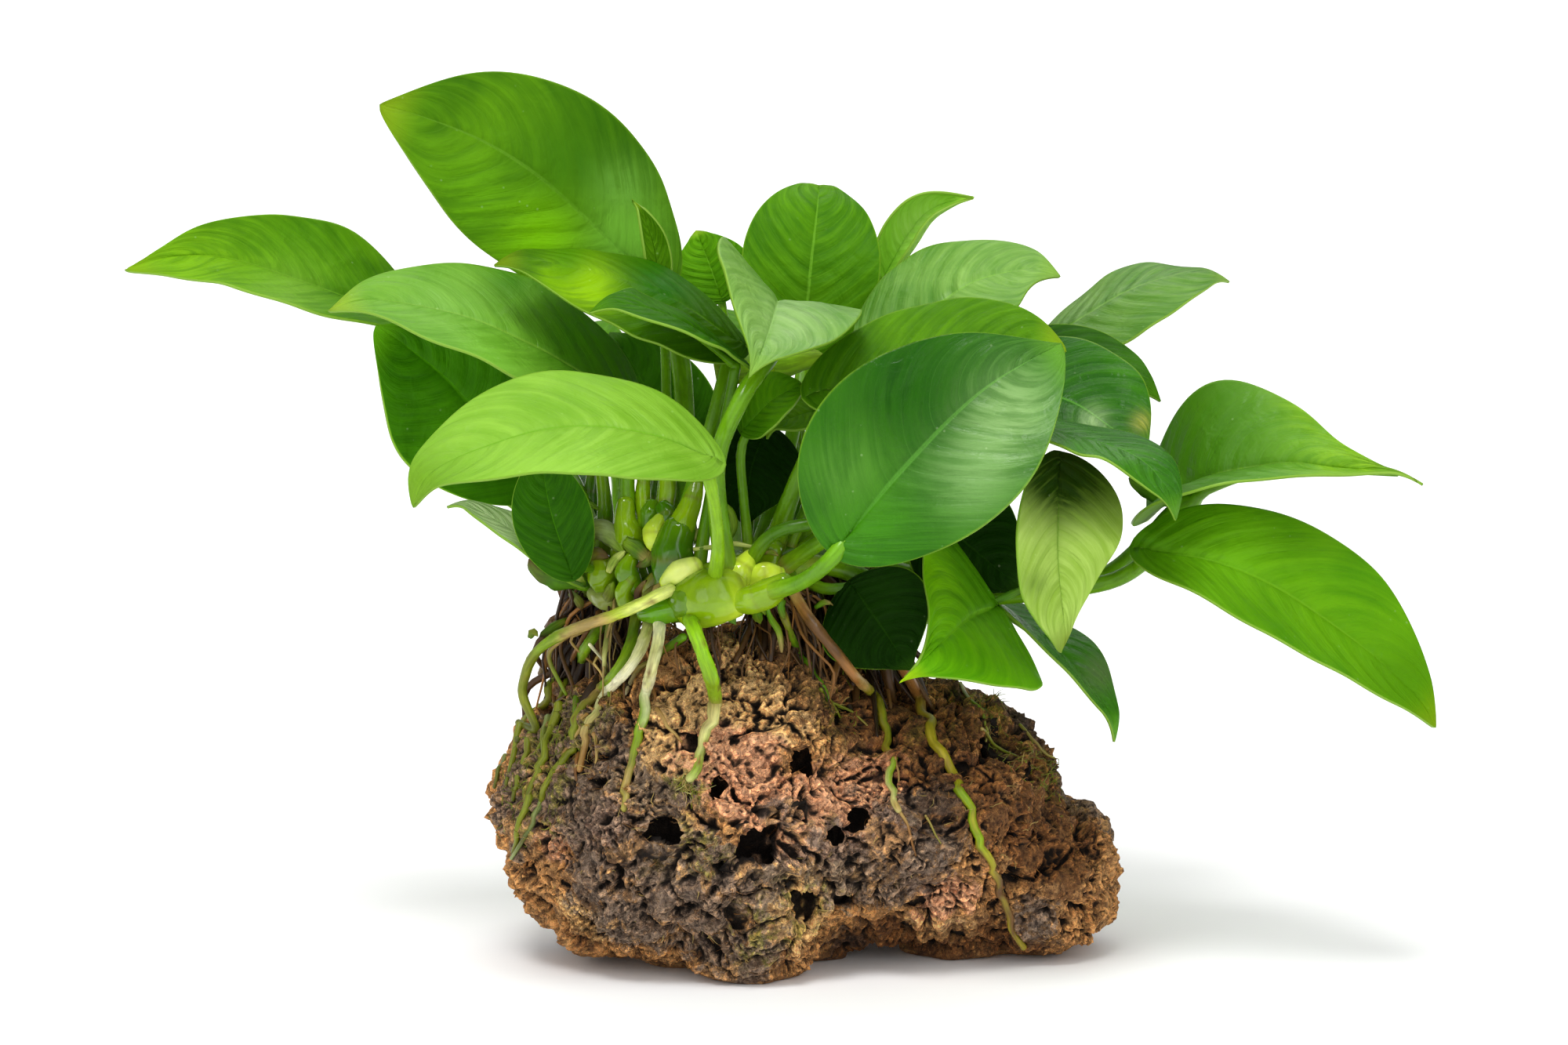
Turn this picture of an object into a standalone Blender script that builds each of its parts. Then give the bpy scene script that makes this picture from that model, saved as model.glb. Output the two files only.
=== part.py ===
"""An anubias plant growing on a lump of lava stone, about 210 mm wide.

Units are metres, +Z is up and the front of the plant looks towards -Y. The origin is the middle
of the flat patch that the stone rests on.

The plant was laid out from a front view. A place in the tables below is (across, down, back):
the pixel of that 2000 x 1333 view where the place is seen, and how far it lies behind the
middle of the stone, in millimetres. Sizes are real sizes in millimetres.
"""

import math
from collections import namedtuple

import bmesh
import bpy
from mathutils import Matrix, Vector, noise
from mathutils.bvhtree import BVHTree

MM = 0.001
GAP = 0.3 * MM
TUBE_ROUNDNESS = 1
# A little more than the gap, for a skin with few faces that the finer tubes are cut by
WIDE_GAP = 0.39 * MM

# The front view that places are read in. A pixel of it is an eighth of a millimetre at LOOKED_AT
EYE_DISTANCE = 800 * MM
EYE_ELEVATION = math.radians(8)
LOOKED_AT = Vector((0, 0, 70.5 * MM))
VIEW_MIDDLE = (1000, 666.5)
PIXEL = 0.125 * MM
TO_RIGHT = Vector((1, 0, 0))
TO_TOP = Vector((0, math.sin(EYE_ELEVATION), math.cos(EYE_ELEVATION)))
AWAY = Vector((0, math.cos(EYE_ELEVATION), -math.sin(EYE_ELEVATION)))
EYE = LOOKED_AT - AWAY * EYE_DISTANCE

# Stone
STONE_VOXEL = 1.6 * MM
STONE_FACES = 1700
LUMP_SIZE, LUMP_HEIGHT = 13 * MM, 5 * MM
NUB_SIZE, NUB_HEIGHT = 5 * MM, 1.6 * MM
# Gas pits all over its skin: spacing, share of the places that have one, radius as a share of the
# spacing, depth, and the share of the radius that is sloping wall. There are none near the ground,
# where the stone rests. CELL_PICK only picks which places have a pit.
PIT_SPACING, PIT_SHARE, PIT_WIDTH = 7.7 * MM, 0.42, 0.34
PIT_DEPTH = 2.6 * MM
PIT_WALL = 0.65
PITS_FROM = 5 * MM
CELL_PICK = 13.7
GROUND_CUTTER = 300 * MM
# Ellipsoids that the stone is the union of: middle (x, y, z) and radii, mm
STONE_LOBES = (
    ((-12, 1, 25), (35, 32, 27)),
    ((-10, -4, 36), (28, 24, 19)),
    ((19, 4, 23), (27, 28, 21)),
    ((40, 6, 12.5), (15, 20, 13.5)),
    ((-34, 2, 23), (13, 22, 18)),
    ((-5, -13, 9), (13, 11, 12)),
    ((29, 3, 10), (16, 13, 12)),
    ((-26, -4, 14), (14, 16, 13)),
    ((1, 1, 9), (14, 13, 11)),
)
# Large gas holes in the stone's face: where each opens, and its half width, half height and depth
STONE_HOLES = (
    ((972, 1080), (4.6, 3.4, 5.0)),
    ((1030, 975), (2.8, 2.4, 4.0)),
    ((848, 1062), (3.6, 1.8, 3.5)),
    ((1028, 1148), (3.0, 2.4, 3.5)),
    ((912, 1012), (1.8, 2.8, 3.5)),
    ((1062, 1070), (2.4, 1.8, 3.0)),
    ((1275, 942), (4.2, 3.0, 4.5)),
)

# Rhizome: its creeping stem, then the short shoots on it. Each is places with the radius there, mm
RHIZOME_VOXEL = 0.9 * MM
RHIZOME_FACES = 440
BEAD_STEP = 2.5 * MM
RHIZOME = (
    (((735, 745, 4), 3.2), ((765, 745, 0), 3.8), ((800, 755, -6), 4.0), ((838, 764, -12), 4.2),
     ((868, 762, -17), 4.6), ((905, 754, -20), 5.6), ((942, 742, -19), 4.8), ((978, 732, -14), 4.3),
     ((1012, 718, -8), 3.8), ((1040, 706, -2), 3.4)),
    (((864, 745, -17), 4.6), ((860, 705, -18), 4.4), ((868, 675, -17), 3.0)),
    (((805, 745, -7), 3.6), ((802, 690, -10), 3.6), ((800, 655, -10), 2.4)),
    (((838, 745, -12), 2.6), ((838, 680, -14), 2.4), ((845, 655, -13), 1.8)),
    (((762, 740, 0), 3.4), ((752, 700, -3), 3.4), ((760, 672, -2), 2.2)),
    (((985, 728, -13), 3.6), ((984, 700, -13), 3.2)),
    (((930, 758, -22), 3.4), ((965, 760, -27), 3.3), ((985, 755, -28), 3.0)),
    (((1012, 718, -8), 3.6), ((1040, 710, 4), 3.6), ((1062, 708, 14), 3.2)),
    (((765, 745, 0), 3.6), ((775, 738, 10), 3.4), ((790, 732, 19), 2.8)),
    (((915, 750, -16), 4.4), ((940, 735, -5), 4.0), ((965, 724, 6), 3.8), ((985, 718, 15), 3.2)),
)

# A leaf: places along its stalk, places along its midrib from stalk to tip, width in mm, the way
# its upper face looks, then by how many degrees each half is folded up from the midrib and curled
# towards its edge, where along the blade each half is widest, the twist towards the tip in
# degrees, how far the lobes reach back as a share of the length, and how many rows and columns of
# faces the blade has. Left comes first in a pair, seen from above with the tip ahead.
Leaf = namedtuple(
    "Leaf",
    "name stalk rib width face fold curl belly twist lobe grid",
    defaults=((0, 0), (0, 0), (0.4, 0.4), 0, 0.07, (7, 2)),
)
CURLED = (6, 4)
LEAVES = (
    Leaf("leaf_front_left", ((910, 754, -23), (916, 690, -32), (907, 620, -37)),
         ((900, 582, -37), (840, 556, -39), (760, 545, -40), (680, 549, -42), (600, 577, -44), (548, 606, -45),
          (519, 640, -46)), 25.5, (-0.12, -0.53, 0.84), (3, 3), (0, 0), (0.4, 0.46)),
    Leaf("leaf_big_front", ((968, 758, -27), (1022, 742, -33), (1058, 715, -38)),
         ((1078, 688, -38), (1150, 600, -39), (1250, 500, -38), (1357, 434, -33)),
         32, (-0.06, -0.98, 0.2), (3, 3), (0, 12), (0.34, 0.5), 0, 0.07, CURLED),
    Leaf("leaf_left_mid", ((802, 690, -10), (800, 620, -10), (800, 560, -10)),
         ((792, 506, -10), (740, 474, -11), (680, 440, -13), (600, 407, -15), (500, 383, -17), (421, 385, -20)),
         28.5, (0.23, -0.56, 0.79), (16, 0), (0, 0), (0.42, 0.38)),
    Leaf("leaf_top_left", ((870, 690, -16), (874, 560, 0), (866, 450, 7)),
         ((836, 354, 10), (788, 318, 10), (740, 272, 9), (680, 220, 7), (600, 172, 5), (488, 131, 2)),
         30.5, (0.1, -0.95, 0.28), (3, 3), (0, 0), (0.5, 0.42)),
    Leaf("leaf_far_left", ((757, 692, -1), (722, 600, 11), (640, 510, 15), (570, 450, 12)),
         ((515, 415, 6), (425, 373, 2), (340, 342, -1), (260, 326, -3), (162, 335, -8)),
         26.5, (0.21, -0.4, 0.9), (20, 15), (0, 0), (0.46, 0.28), -22),
    Leaf("leaf_dark_left", ((748, 715, -3), (722, 660, -4)),
         ((690, 612, -1), (612, 530, -4), (560, 475, -7), (486, 416, -11)),
         28.5, (0, -0.9, 0.4), (4, 4), (0, 0), (0.52, 0.4)),
    Leaf("leaf_small_left", ((775, 735, -5), (748, 724, -14)),
         ((728, 730, -17), (702, 650, -17), (688, 570, -16)), 12.5, (0, -0.98, 0.2), (5, 5), (0, 0), (0.45, 0.45)),
    Leaf("leaf_low_left", ((762, 748, 0), (750, 748, -8)),
         ((738, 741, -10), (665, 684, -11), (577, 634, -10)), 10, (0.3, -0.32, 0.9), (6, 6)),
    Leaf("leaf_upper_band", ((860, 710, -19), (885, 620, -16), (915, 520, -12)),
         ((938, 436, -8), (870, 385, -9), (810, 360, -10), (740, 342, -12), (634, 323, -15)),
         25, (0.12, -0.15, 0.98), (-28, 4)),
    Leaf("leaf_dark_band", ((888, 748, -19), (905, 640, -17), (925, 540, -16)),
         ((943, 459, -15), (890, 422, -21), (830, 395, -28), (757, 384, -32)),
         18, (0.15, -0.28, 0.95), (0, 4)),
    Leaf("leaf_centre_fold", ((928, 745, -21), (914, 600, -25), (945, 510, -26), (986, 448, -17)),
         ((990, 405, -4), (992, 384, -14), (980, 425, -27), (962, 469, -38)),
         26.5, (0.43, -0.3, 0.84), (21, 20), (0, 0), (0.36, 0.34)),
    Leaf("leaf_centre_back", ((958, 732, -4), (1000, 600, 6), (1020, 500, 11)),
         ((1026, 440, 14), (1033, 350, 14), (1042, 270, 19), (1046, 226, 29)),
         22.5, (0, -1, 0.1), (3, 3), (0, 0), (0.4, 0.38)),
    Leaf("leaf_rolled", ((970, 722, 8), (1060, 560, 18), (1108, 430, 21)),
         ((1127, 355, 21), (1155, 304, 21), (1186, 268, 20), (1237, 250, 18)), 12.5, (-0.25, -0.94, 0.25),
         (10, 10), (100, 100), (0.4, 0.4), 0, 0.07, CURLED),
    Leaf("leaf_right_upper", ((1010, 718, -8), (1055, 590, -1), (1092, 490, 1)),
         ((1110, 438, 2), (1180, 398, 3), (1240, 362, 4), (1300, 344, 5), (1350, 341, 4)),
         27, (-0.29, -0.54, 0.79), (0, 0)),
    Leaf("leaf_right_fold", ((984, 705, -13), (1010, 630, -18), (1040, 560, -20)),
         ((1060, 498, -20), (1130, 478, -18), (1240, 452, -19), (1356, 437, -22)),
         26, (-0.14, -0.6, 0.78), (2, 2), (0, 0), (0.5, 0.4), 0, 0.13),
    Leaf("leaf_right_far_upper", ((1050, 704, 9), (1130, 600, 17), (1230, 510, 24)),
         ((1330, 440, 25), (1400, 392, 24), (1480, 355, 24), (1568, 345, 26)), 25, (-0.33, -0.32, 0.89), (-10, -10)),
    Leaf("leaf_right_behind", ((1040, 706, 0), (1115, 610, 6), (1200, 540, 9)),
         ((1270, 490, 9), (1370, 462, 8), (1480, 499, 0)), 17, (0.25, -0.64, 0.72), (0, 0)),
    Leaf("leaf_right_gloss", ((1028, 712, -5), (1090, 625, 0), (1200, 520, 0)),
         ((1268, 478, -5), (1372, 516, -10), (1464, 580, -18)), 27, (0.36, -0.6, 0.72), (8, 8)),
    Leaf("leaf_right_thin", ((1008, 712, -9), (1120, 626, -18), (1240, 556, -24)),
         ((1310, 540, -26), (1400, 564, -29), (1460, 589, -33), (1508, 653, -38)), 17, (0.05, -0.1, 0.99), (0, 0)),
    Leaf("leaf_right_out_upper",
         ((1052, 710, 5), (1200, 740, 0), (1310, 736, -1), (1400, 738, 1), (1455, 700, 1), (1490, 662, -1)),
         ((1508, 632, -2), (1550, 606, -6), (1620, 594, -10), (1700, 596, -15), (1816, 606, -20)),
         33, (-0.09, -0.48, 0.87), (26, 26), (0, 0), (0.2, 0.25), 0, 0.2),
    Leaf("leaf_right_out_lower", ((1040, 706, 0), (1200, 760, -3), (1400, 745, -10)),
         ((1470, 704, -16), (1550, 718, -18), (1650, 762, -20), (1740, 826, -22), (1838, 920, -26)),
         26.5, (0.33, -0.69, 0.64), (8, 18), (0, 0), (0.42, 0.46)),
    Leaf("leaf_right_hanging", ((990, 728, -15), (1110, 655, -25), (1290, 592, -28)),
         ((1350, 592, -29), (1350, 690, -34), (1354, 770, -35), (1362, 831, -36)),
         21, (0.5, -0.85, 0.12), (14, 20), (0, 0), (0.28, 0.5)),
    Leaf("leaf_low_right",
         ((1012, 721, -12), (1055, 721, -10), (1100, 736, -6), (1145, 768, -8), (1215, 790, -9)),
         ((1270, 774, -10), (1240, 785, -20), (1200, 820, -30), (1155, 864, -37)),
         31, (0.48, -0.65, 0.59), (3, 8), (0, 0), (0.33, 0.2), 0, 0),
    Leaf("leaf_low_right_narrow", ((1060, 708, 13), (1150, 718, 15), (1230, 738, 13)),
         ((1262, 762, 8), (1330, 812, -3), (1375, 855, -8), (1432, 936, -14)),
         16, (0.64, -0.36, 0.67), (12, 12)),
    Leaf("leaf_low_dark", ((1010, 728, -7), (1050, 750, -12)),
         ((1088, 748, -14), (1118, 790, -17), (1160, 853, -20)), 19, (-0.2, -0.95, 0.2)),
    Leaf("leaf_behind_right", ((945, 738, -18), (985, 682, -22), (1060, 664, -21)),
         ((1175, 645, -10), (1235, 695, -7), (1302, 752, -8)), 20, (0, -0.9, 0.4)),
    Leaf("leaf_centre_dark", ((945, 732, -8), (1000, 650, -5), (998, 580, -4)),
         ((976, 550, -5), (958, 600, -8), (950, 668, -11)), 17, (0, -1, 0.15), (5, 5)),
    Leaf("leaf_centre_small", ((958, 738, -17), (950, 650, -15), (945, 580, -15)),
         ((950, 548, -16), (988, 508, -17), (1030, 490, -16)), 12, (0.1, -0.5, 0.85), (10, 10)),
    Leaf("leaf_centre_bright", ((996, 725, -11), (1035, 630, -10), (1066, 545, -7)),
         ((1062, 520, -7), (1020, 530, -10), (976, 546, -12)), 12, (0, -0.35, 0.93), (5, 5)),
    Leaf("leaf_top_back", ((930, 740, -8), (915, 580, 8), (926, 450, 17)),
         ((920, 380, 18), (902, 330, 19), (888, 293, 20)), 13, (0, -0.95, 0.2), (10, 10)),
    Leaf("leaf_young_tip", ((842, 670, -13), (850, 560, -5), (848, 440, 3)),
         ((842, 372, 5), (832, 310, 5), (812, 256, 4)), 5.5, (0.3, -0.9, 0.2), (10, 10), (50, 50),
         (0.4, 0.4), 0, 0.07, (5, 4)),
    Leaf("leaf_inner_left", ((838, 690, -13), (862, 655, 2)),
         ((864, 612, 9), (844, 545, 12), (816, 480, 14), (778, 420, 17)), 20, (0.1, -0.9, 0.3), (4, 4)),
    Leaf("leaf_back_left", ((786, 734, 17), (790, 620, 24), (770, 530, 30)),
         ((745, 480, 36), (700, 445, 45), (640, 430, 58)), 25, (0, -0.3, 0.95), (6, 6)),
    Leaf("leaf_back", ((942, 732, 4), (950, 600, 20), (960, 480, 29)),
         ((962, 440, 34), (963, 405, 47), (965, 400, 66)), 26, (0, -0.2, 0.97), (6, 6)),
    Leaf("leaf_back_right", ((976, 716, 15), (995, 650, 20), (1090, 560, 28)),
         ((1170, 490, 37), (1220, 460, 46), (1290, 445, 58)), 25, (0, -0.3, 0.95), (6, 6)),
    Leaf("leaf_back_low_left", ((772, 740, 9), (755, 690, 22), (742, 645, 32)),
         ((725, 630, 37), (690, 625, 50), (655, 640, 66)), 23, (-0.2, 0, 0.97), (6, 6)),
    Leaf("leaf_back_low_right", ((990, 722, 10), (1035, 700, 20), (1100, 645, 30)),
         ((1145, 612, 37), (1190, 605, 50), (1240, 620, 66)), 24, (0.2, 0, 0.97), (6, 6)),
)
BLADE_THICKNESS = 0.7 * MM
# The share of the midrib that a blade looks along for its heading, and the curl in radians under
# which a half is flat
HEADING_SPAN = 0.05
FLAT_CURL = 0.01
# Corners that lie closer than this are one, at a blade's ends and at a tube's caps
TIP_MERGE = 0.05 * MM
TUBE_MERGE = 0.001 * MM
BASE_ROUNDNESS = 0.55
TIP_SHARPNESS = 0.5
RIB_STEP = 1 * MM
# How much more closely a blade's rows lie at its two ends: 0 is evenly
END_CROWDING = 0.65
# A stalk's radius as a share of the blade's width, and how that changes at its foot and at its top
STALK_SHARE = 0.052
STALK_FOOT, STALK_TOP = 1.3, 0.7
THINNEST_STALK = 0.8 * MM
STALK_STEP = 16 * MM
# How far along the midrib the stalk goes on under the blade
STALK_REACH = 0.06

# Roots: places in the air on the way down, then places on the stone's face, and the radius, mm
Root = namedtuple("Root", "name air stone radius")
ROOT_STEP = 55
TUBE_STEP = 6 * MM
ROOT_START, ROOT_TAPER = 1.1, 0.5
ROOTS = (
    Root("root_far_left",
         ((858, 762, -20), (800, 778, -23), (745, 792, -20), (697, 810, -14), (674, 845, -8), (666, 890, -6)),
         ((667, 930), (672, 962)), 1.25),
    Root("root_green", ((880, 775, -22), (893, 825, -31)), ((913, 880), (916, 925), (898, 962), (883, 1000)), 1.4),
    Root("root_white", ((842, 775, -18), (836, 830, -26)), ((822, 890), (815, 940), (803, 985), (800, 1030)), 1.1),
    Root("root_pale", ((828, 775, -14), (812, 838, -22)), ((780, 892), (755, 932), (743, 968)), 1.0),
    Root("root_left", ((792, 770, -9), (768, 825, -16)), ((745, 880), (730, 920), (705, 960), (690, 1005)), 1.0),
    Root("root_left_low", ((778, 765, -5), (742, 835, -8)), ((712, 880), (698, 915), (690, 945)), 1.0),
    Root("root_right", ((990, 742, -15), (1038, 795, -26), (1080, 848, -25)),
         ((1116, 893), (1132, 925), (1132, 970), (1148, 1036)), 1.2),
    Root("root_long_right", ((1030, 722, -5), (1092, 778, -6), (1150, 850, -12)),
         ((1182, 915), (1225, 1000), (1245, 1060), (1268, 1120), (1304, 1195)), 1.2),
    Root("root_short", ((985, 745, -12),), ((1008, 820), (1038, 868), (1060, 910)), 0.8),
    Root("root_back_left", ((745, 745, 5), (718, 790, 14), (690, 860, 20)), (), 1.1),
    Root("root_back_right", ((1045, 712, 6), (1085, 770, 16), (1135, 830, 20)), (), 1.1),
)


def mm(values):
    return Vector(values) * MM


def seen_at(across, down, back):
    """The point that the front view shows at a pixel, at a depth behind the stone's middle."""
    right = (across - VIEW_MIDDLE[0]) * PIXEL
    up = (VIEW_MIDDLE[1] - down) * PIXEL
    ray = AWAY * EYE_DISTANCE + TO_RIGHT * right + TO_TOP * up
    return EYE + ray * ((back * MM - EYE.y) / ray.y)


def smooth_route(points, radii, step):
    """Points and radii about `step` apart on a Catmull-Rom curve through the given ones."""
    ends = [points[0] * 2 - points[1], *points, points[-1] * 2 - points[-2]]
    route = []
    for i in range(len(points) - 1):
        before, start, end, after = ends[i:i + 4]
        pieces = max(1, round((end - start).length / step))
        for k in range(pieces):
            t = k / pieces
            point = (start * 2 + (end - before) * t
                     + (before * 2 - start * 5 + end * 4 - after) * t ** 2
                     + (start * 3 - before - end * 3 + after) * t ** 3) / 2
            route.append((point, radii[i] + (radii[i + 1] - radii[i]) * t))
    route.append((points[-1], radii[-1]))
    return route


def material(name, colour, roughness):
    made = bpy.data.materials.new(name)
    made.use_nodes = True
    shader = made.node_tree.nodes["Principled BSDF"]
    shader.inputs["Base Color"].default_value = (*colour, 1)
    shader.inputs["Roughness"].default_value = roughness
    return made


def new_object(name, mesh, collection, finish=None):
    made = bpy.data.objects.new(name, mesh)
    collection.objects.link(made)
    if finish:
        made.data.materials.append(finish)
    return made


def cutter(name, mesh, collection):
    made = new_object(name, mesh, collection)
    made.hide_render = True
    made.display_type = "WIRE"
    return made


def evaluated_mesh(source):
    bpy.context.view_layer.update()
    graph = bpy.context.evaluated_depsgraph_get()
    return bpy.data.meshes.new_from_object(source.evaluated_get(graph))


def boolean(target, other, operation):
    modifier = target.modifiers.new(operation.lower(), "BOOLEAN")
    modifier.operation = operation
    modifier.object = other
    modifier.solver = "EXACT"


def ellipsoid(mesh, middle, radii, turn=Matrix.Identity(3), detail=3):
    """Adds an ellipsoid to a bmesh."""
    made = bmesh.ops.create_icosphere(mesh, subdivisions=detail, radius=1)
    place = Matrix.Translation(middle) @ turn.to_4x4() @ Matrix.Diagonal((*radii, 1))
    bmesh.ops.transform(mesh, matrix=place, verts=made["verts"])


def mesh_from(shape, name):
    mesh = bpy.data.meshes.new(name)
    shape.to_mesh(mesh)
    shape.free()
    return mesh


def tube_mesh(name, route):
    """A closed tube along a route of (point, radius)."""
    curve = bpy.data.curves.new(name, "CURVE")
    curve.dimensions = "3D"
    curve.bevel_depth = 1
    curve.bevel_resolution = TUBE_ROUNDNESS
    curve.use_fill_caps = True
    spline = curve.splines.new("POLY")
    spline.points.add(len(route) - 1)
    for point, (place, radius) in zip(spline.points, route):
        point.co = (*place, 1)
        point.radius = radius
    guide = bpy.data.objects.new(name, curve)
    bpy.context.scene.collection.objects.link(guide)
    mesh = evaluated_mesh(guide)
    bpy.data.objects.remove(guide)
    bpy.data.curves.remove(curve)
    shape = bmesh.new()
    shape.from_mesh(mesh)
    bmesh.ops.remove_doubles(shape, verts=shape.verts, dist=TUBE_MERGE)
    bmesh.ops.recalc_face_normals(shape, faces=shape.faces)
    shape.to_mesh(mesh)
    shape.free()
    return mesh


def grown(source, by, name, collection):
    """A cutter that is another piece made thicker all round."""
    made = cutter(name, evaluated_mesh(source), collection)
    swell = made.modifiers.new("swell", "DISPLACE")
    swell.strength = by
    swell.mid_level = 0
    return made


def noise_texture(name, size):
    made = bpy.data.textures.new(name, "CLOUDS")
    made.noise_scale = size
    made.noise_depth = 2
    return made


def pit_depth(at):
    """How deep a place of the stone's skin lies in a gas pit."""
    away, middles = noise.voronoi(at / PIT_SPACING)
    if noise.cell(middles[0] * CELL_PICK) > PIT_SHARE or at.z < PITS_FROM:
        return 0
    slope = min(1, max(0, (PIT_WIDTH - away[0]) / (PIT_WIDTH * PIT_WALL)))
    return PIT_DEPTH * slope * slope * (3 - 2 * slope)


def build_stone(parts, helpers, finish):
    shape = bmesh.new()
    for middle, radii in STONE_LOBES:
        ellipsoid(shape, mm(middle), mm(radii))
    stone = new_object("stone", mesh_from(shape, "stone"), parts, finish)
    join = stone.modifiers.new("join", "REMESH")
    join.mode = "VOXEL"
    join.voxel_size = STONE_VOXEL
    for name, size, height in (("lumps", LUMP_SIZE, LUMP_HEIGHT), ("nubs", NUB_SIZE, NUB_HEIGHT)):
        rough = stone.modifiers.new(name, "DISPLACE")
        rough.texture = noise_texture(name, size)
        rough.strength = height
    stone.data = evaluated_mesh(stone)
    stone.modifiers.clear()
    moves = [vertex.normal * -pit_depth(vertex.co) for vertex in stone.data.vertices]
    for vertex, move in zip(stone.data.vertices, moves):
        vertex.co += move
    thin = stone.modifiers.new("thin_out", "DECIMATE")
    thin.ratio = STONE_FACES / (2 * len(stone.data.polygons))
    stone.data = evaluated_mesh(stone)
    stone.modifiers.clear()
    face = face_of(stone)
    for number, (place, radii) in enumerate(STONE_HOLES):
        point, normal = on_face(face, *place)
        turn = normal.to_track_quat("Z", "Y").to_matrix()
        hole = bmesh.new()
        ellipsoid(hole, point, mm(radii), turn, detail=1)
        boolean(stone, cutter(f"hole_{number}", mesh_from(hole, "hole"), helpers), "DIFFERENCE")
    ground = bmesh.new()
    bmesh.ops.create_cube(ground, size=GROUND_CUTTER)
    bmesh.ops.translate(ground, vec=(0, 0, -GROUND_CUTTER / 2), verts=ground.verts)
    boolean(stone, cutter("ground", mesh_from(ground, "ground"), helpers), "DIFFERENCE")
    return stone


def face_of(piece):
    bpy.context.view_layer.update()
    return BVHTree.FromObject(piece, bpy.context.evaluated_depsgraph_get())


def on_face(face, across, down):
    """The point of a surface that the front view shows at a pixel, and the normal there."""
    toward = seen_at(across, down, 0) - EYE
    point, normal, _, _ = face.ray_cast(EYE, toward.normalized())
    if point is None:
        raise ValueError(f"nothing is seen at {across}, {down}")
    return point, normal


def build_rhizome(parts, helpers, finish, stone_skin):
    shape = bmesh.new()
    for shoot in RHIZOME:
        places = [seen_at(*place) for place, _ in shoot]
        radii = [radius * MM for _, radius in shoot]
        for point, radius in smooth_route(places, radii, BEAD_STEP):
            ellipsoid(shape, point, (radius, radius, radius), detail=2)
    rhizome = new_object("rhizome", mesh_from(shape, "rhizome"), parts, finish)
    join = rhizome.modifiers.new("join", "REMESH")
    join.mode = "VOXEL"
    join.voxel_size = RHIZOME_VOXEL
    rhizome.data = evaluated_mesh(rhizome)
    rhizome.modifiers.clear()
    thin = rhizome.modifiers.new("thin_out", "DECIMATE")
    thin.ratio = RHIZOME_FACES / (2 * len(rhizome.data.polygons))
    boolean(rhizome, stone_skin, "DIFFERENCE")
    return rhizome


def polyline(points, step):
    """Places close together on the smooth curve through the points, and how far along each is."""
    places = [place for place, _ in smooth_route(points, [0] * len(points), step)]
    lengths = [0]
    for before, after in zip(places, places[1:]):
        lengths.append(lengths[-1] + (after - before).length)
    return places, lengths


def along_polyline(line, share):
    places, lengths = line
    wanted = share * lengths[-1]
    for i in range(1, len(places)):
        if lengths[i] >= wanted:
            part = (wanted - lengths[i - 1]) / (lengths[i] - lengths[i - 1])
            return places[i - 1].lerp(places[i], part)
    return places[-1]


def blade_place(leaf, rib, along, aside):
    """A point of a leaf's blade: along runs 0 to 1 from stalk to tip, aside -1 to 1 across it."""
    place = along_polyline(rib, along)
    before = along_polyline(rib, max(0, along - HEADING_SPAN))
    after = along_polyline(rib, min(1, along + HEADING_SPAN))
    heading = (after - before).normalized()
    face = Matrix.Rotation(math.radians(leaf.twist * along), 3, heading) @ Vector(leaf.face)
    side = heading.cross(face).normalized()
    upward = side.cross(heading)
    which = 0 if aside < 0 else 1
    belly = leaf.belly[which]
    taper = BASE_ROUNDNESS * (1 - belly) / belly
    fullness = along ** BASE_ROUNDNESS * (1 - along) ** taper / (belly ** BASE_ROUNDNESS * (1 - belly) ** taper)
    half = leaf.width / 2 * MM * fullness * (1 - TIP_SHARPNESS * along ** 6)
    lean, bend = math.radians(leaf.fold[which]), math.radians(leaf.curl[which])
    reach = abs(aside)
    if abs(bend) < FLAT_CURL:
        out, rise = reach * math.cos(lean), reach * math.sin(lean)
    else:
        out = (math.sin(lean + bend * reach) - math.sin(lean)) / bend
        rise = (math.cos(lean) - math.cos(lean + bend * reach)) / bend
    back = leaf.lobe * rib[1][-1] * (1 - along) ** 6 * reach ** 1.5
    return place + side * (math.copysign(out, aside) * half) + upward * (rise * half) - heading * back


def blade_mesh(leaf, rib):
    shape = bmesh.new()
    bmesh.ops.create_grid(shape, x_segments=leaf.grid[0], y_segments=leaf.grid[1], size=1)
    for vertex in shape.verts:
        even = (vertex.co.x + 1) / 2
        along = (1 - END_CROWDING) * even + END_CROWDING * (1 - math.cos(math.pi * even)) / 2
        vertex.co = blade_place(leaf, rib, along, vertex.co.y)
    bmesh.ops.remove_doubles(shape, verts=shape.verts, dist=TIP_MERGE)
    return mesh_from(shape, leaf.name)


def build_leaf(leaf, parts, helpers, finish, skins):
    rib = polyline([seen_at(*place) for place in leaf.rib], RIB_STEP)
    blade = new_object(leaf.name, blade_mesh(leaf, rib), parts, finish)
    shell = blade.modifiers.new("thickness", "SOLIDIFY")
    shell.thickness = BLADE_THICKNESS
    shell.offset = 0
    radius = max(THINNEST_STALK, STALK_SHARE * leaf.width * MM)
    points = [*(seen_at(*place) for place in leaf.stalk), along_polyline(rib, STALK_REACH)]
    radii = [radius * STALK_FOOT, *[radius] * (len(points) - 2), radius * STALK_TOP]
    route = smooth_route(points, radii, STALK_STEP)
    tube = cutter(leaf.name + "_stalk", tube_mesh(leaf.name + "_stalk", route), helpers)
    for skin in skins:
        boolean(tube, skin, "DIFFERENCE")
    boolean(blade, tube, "UNION")
    return blade


def between(places, step):
    """The pixel places, with others put in where two are more than `step` pixels apart."""
    filled = list(places[:1])
    for start, end in zip(places, places[1:]):
        pieces = math.ceil(math.dist(start, end) / step)
        for k in range(1, pieces + 1):
            filled.append(tuple(a + (b - a) * k / pieces for a, b in zip(start, end)))
    return filled


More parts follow.
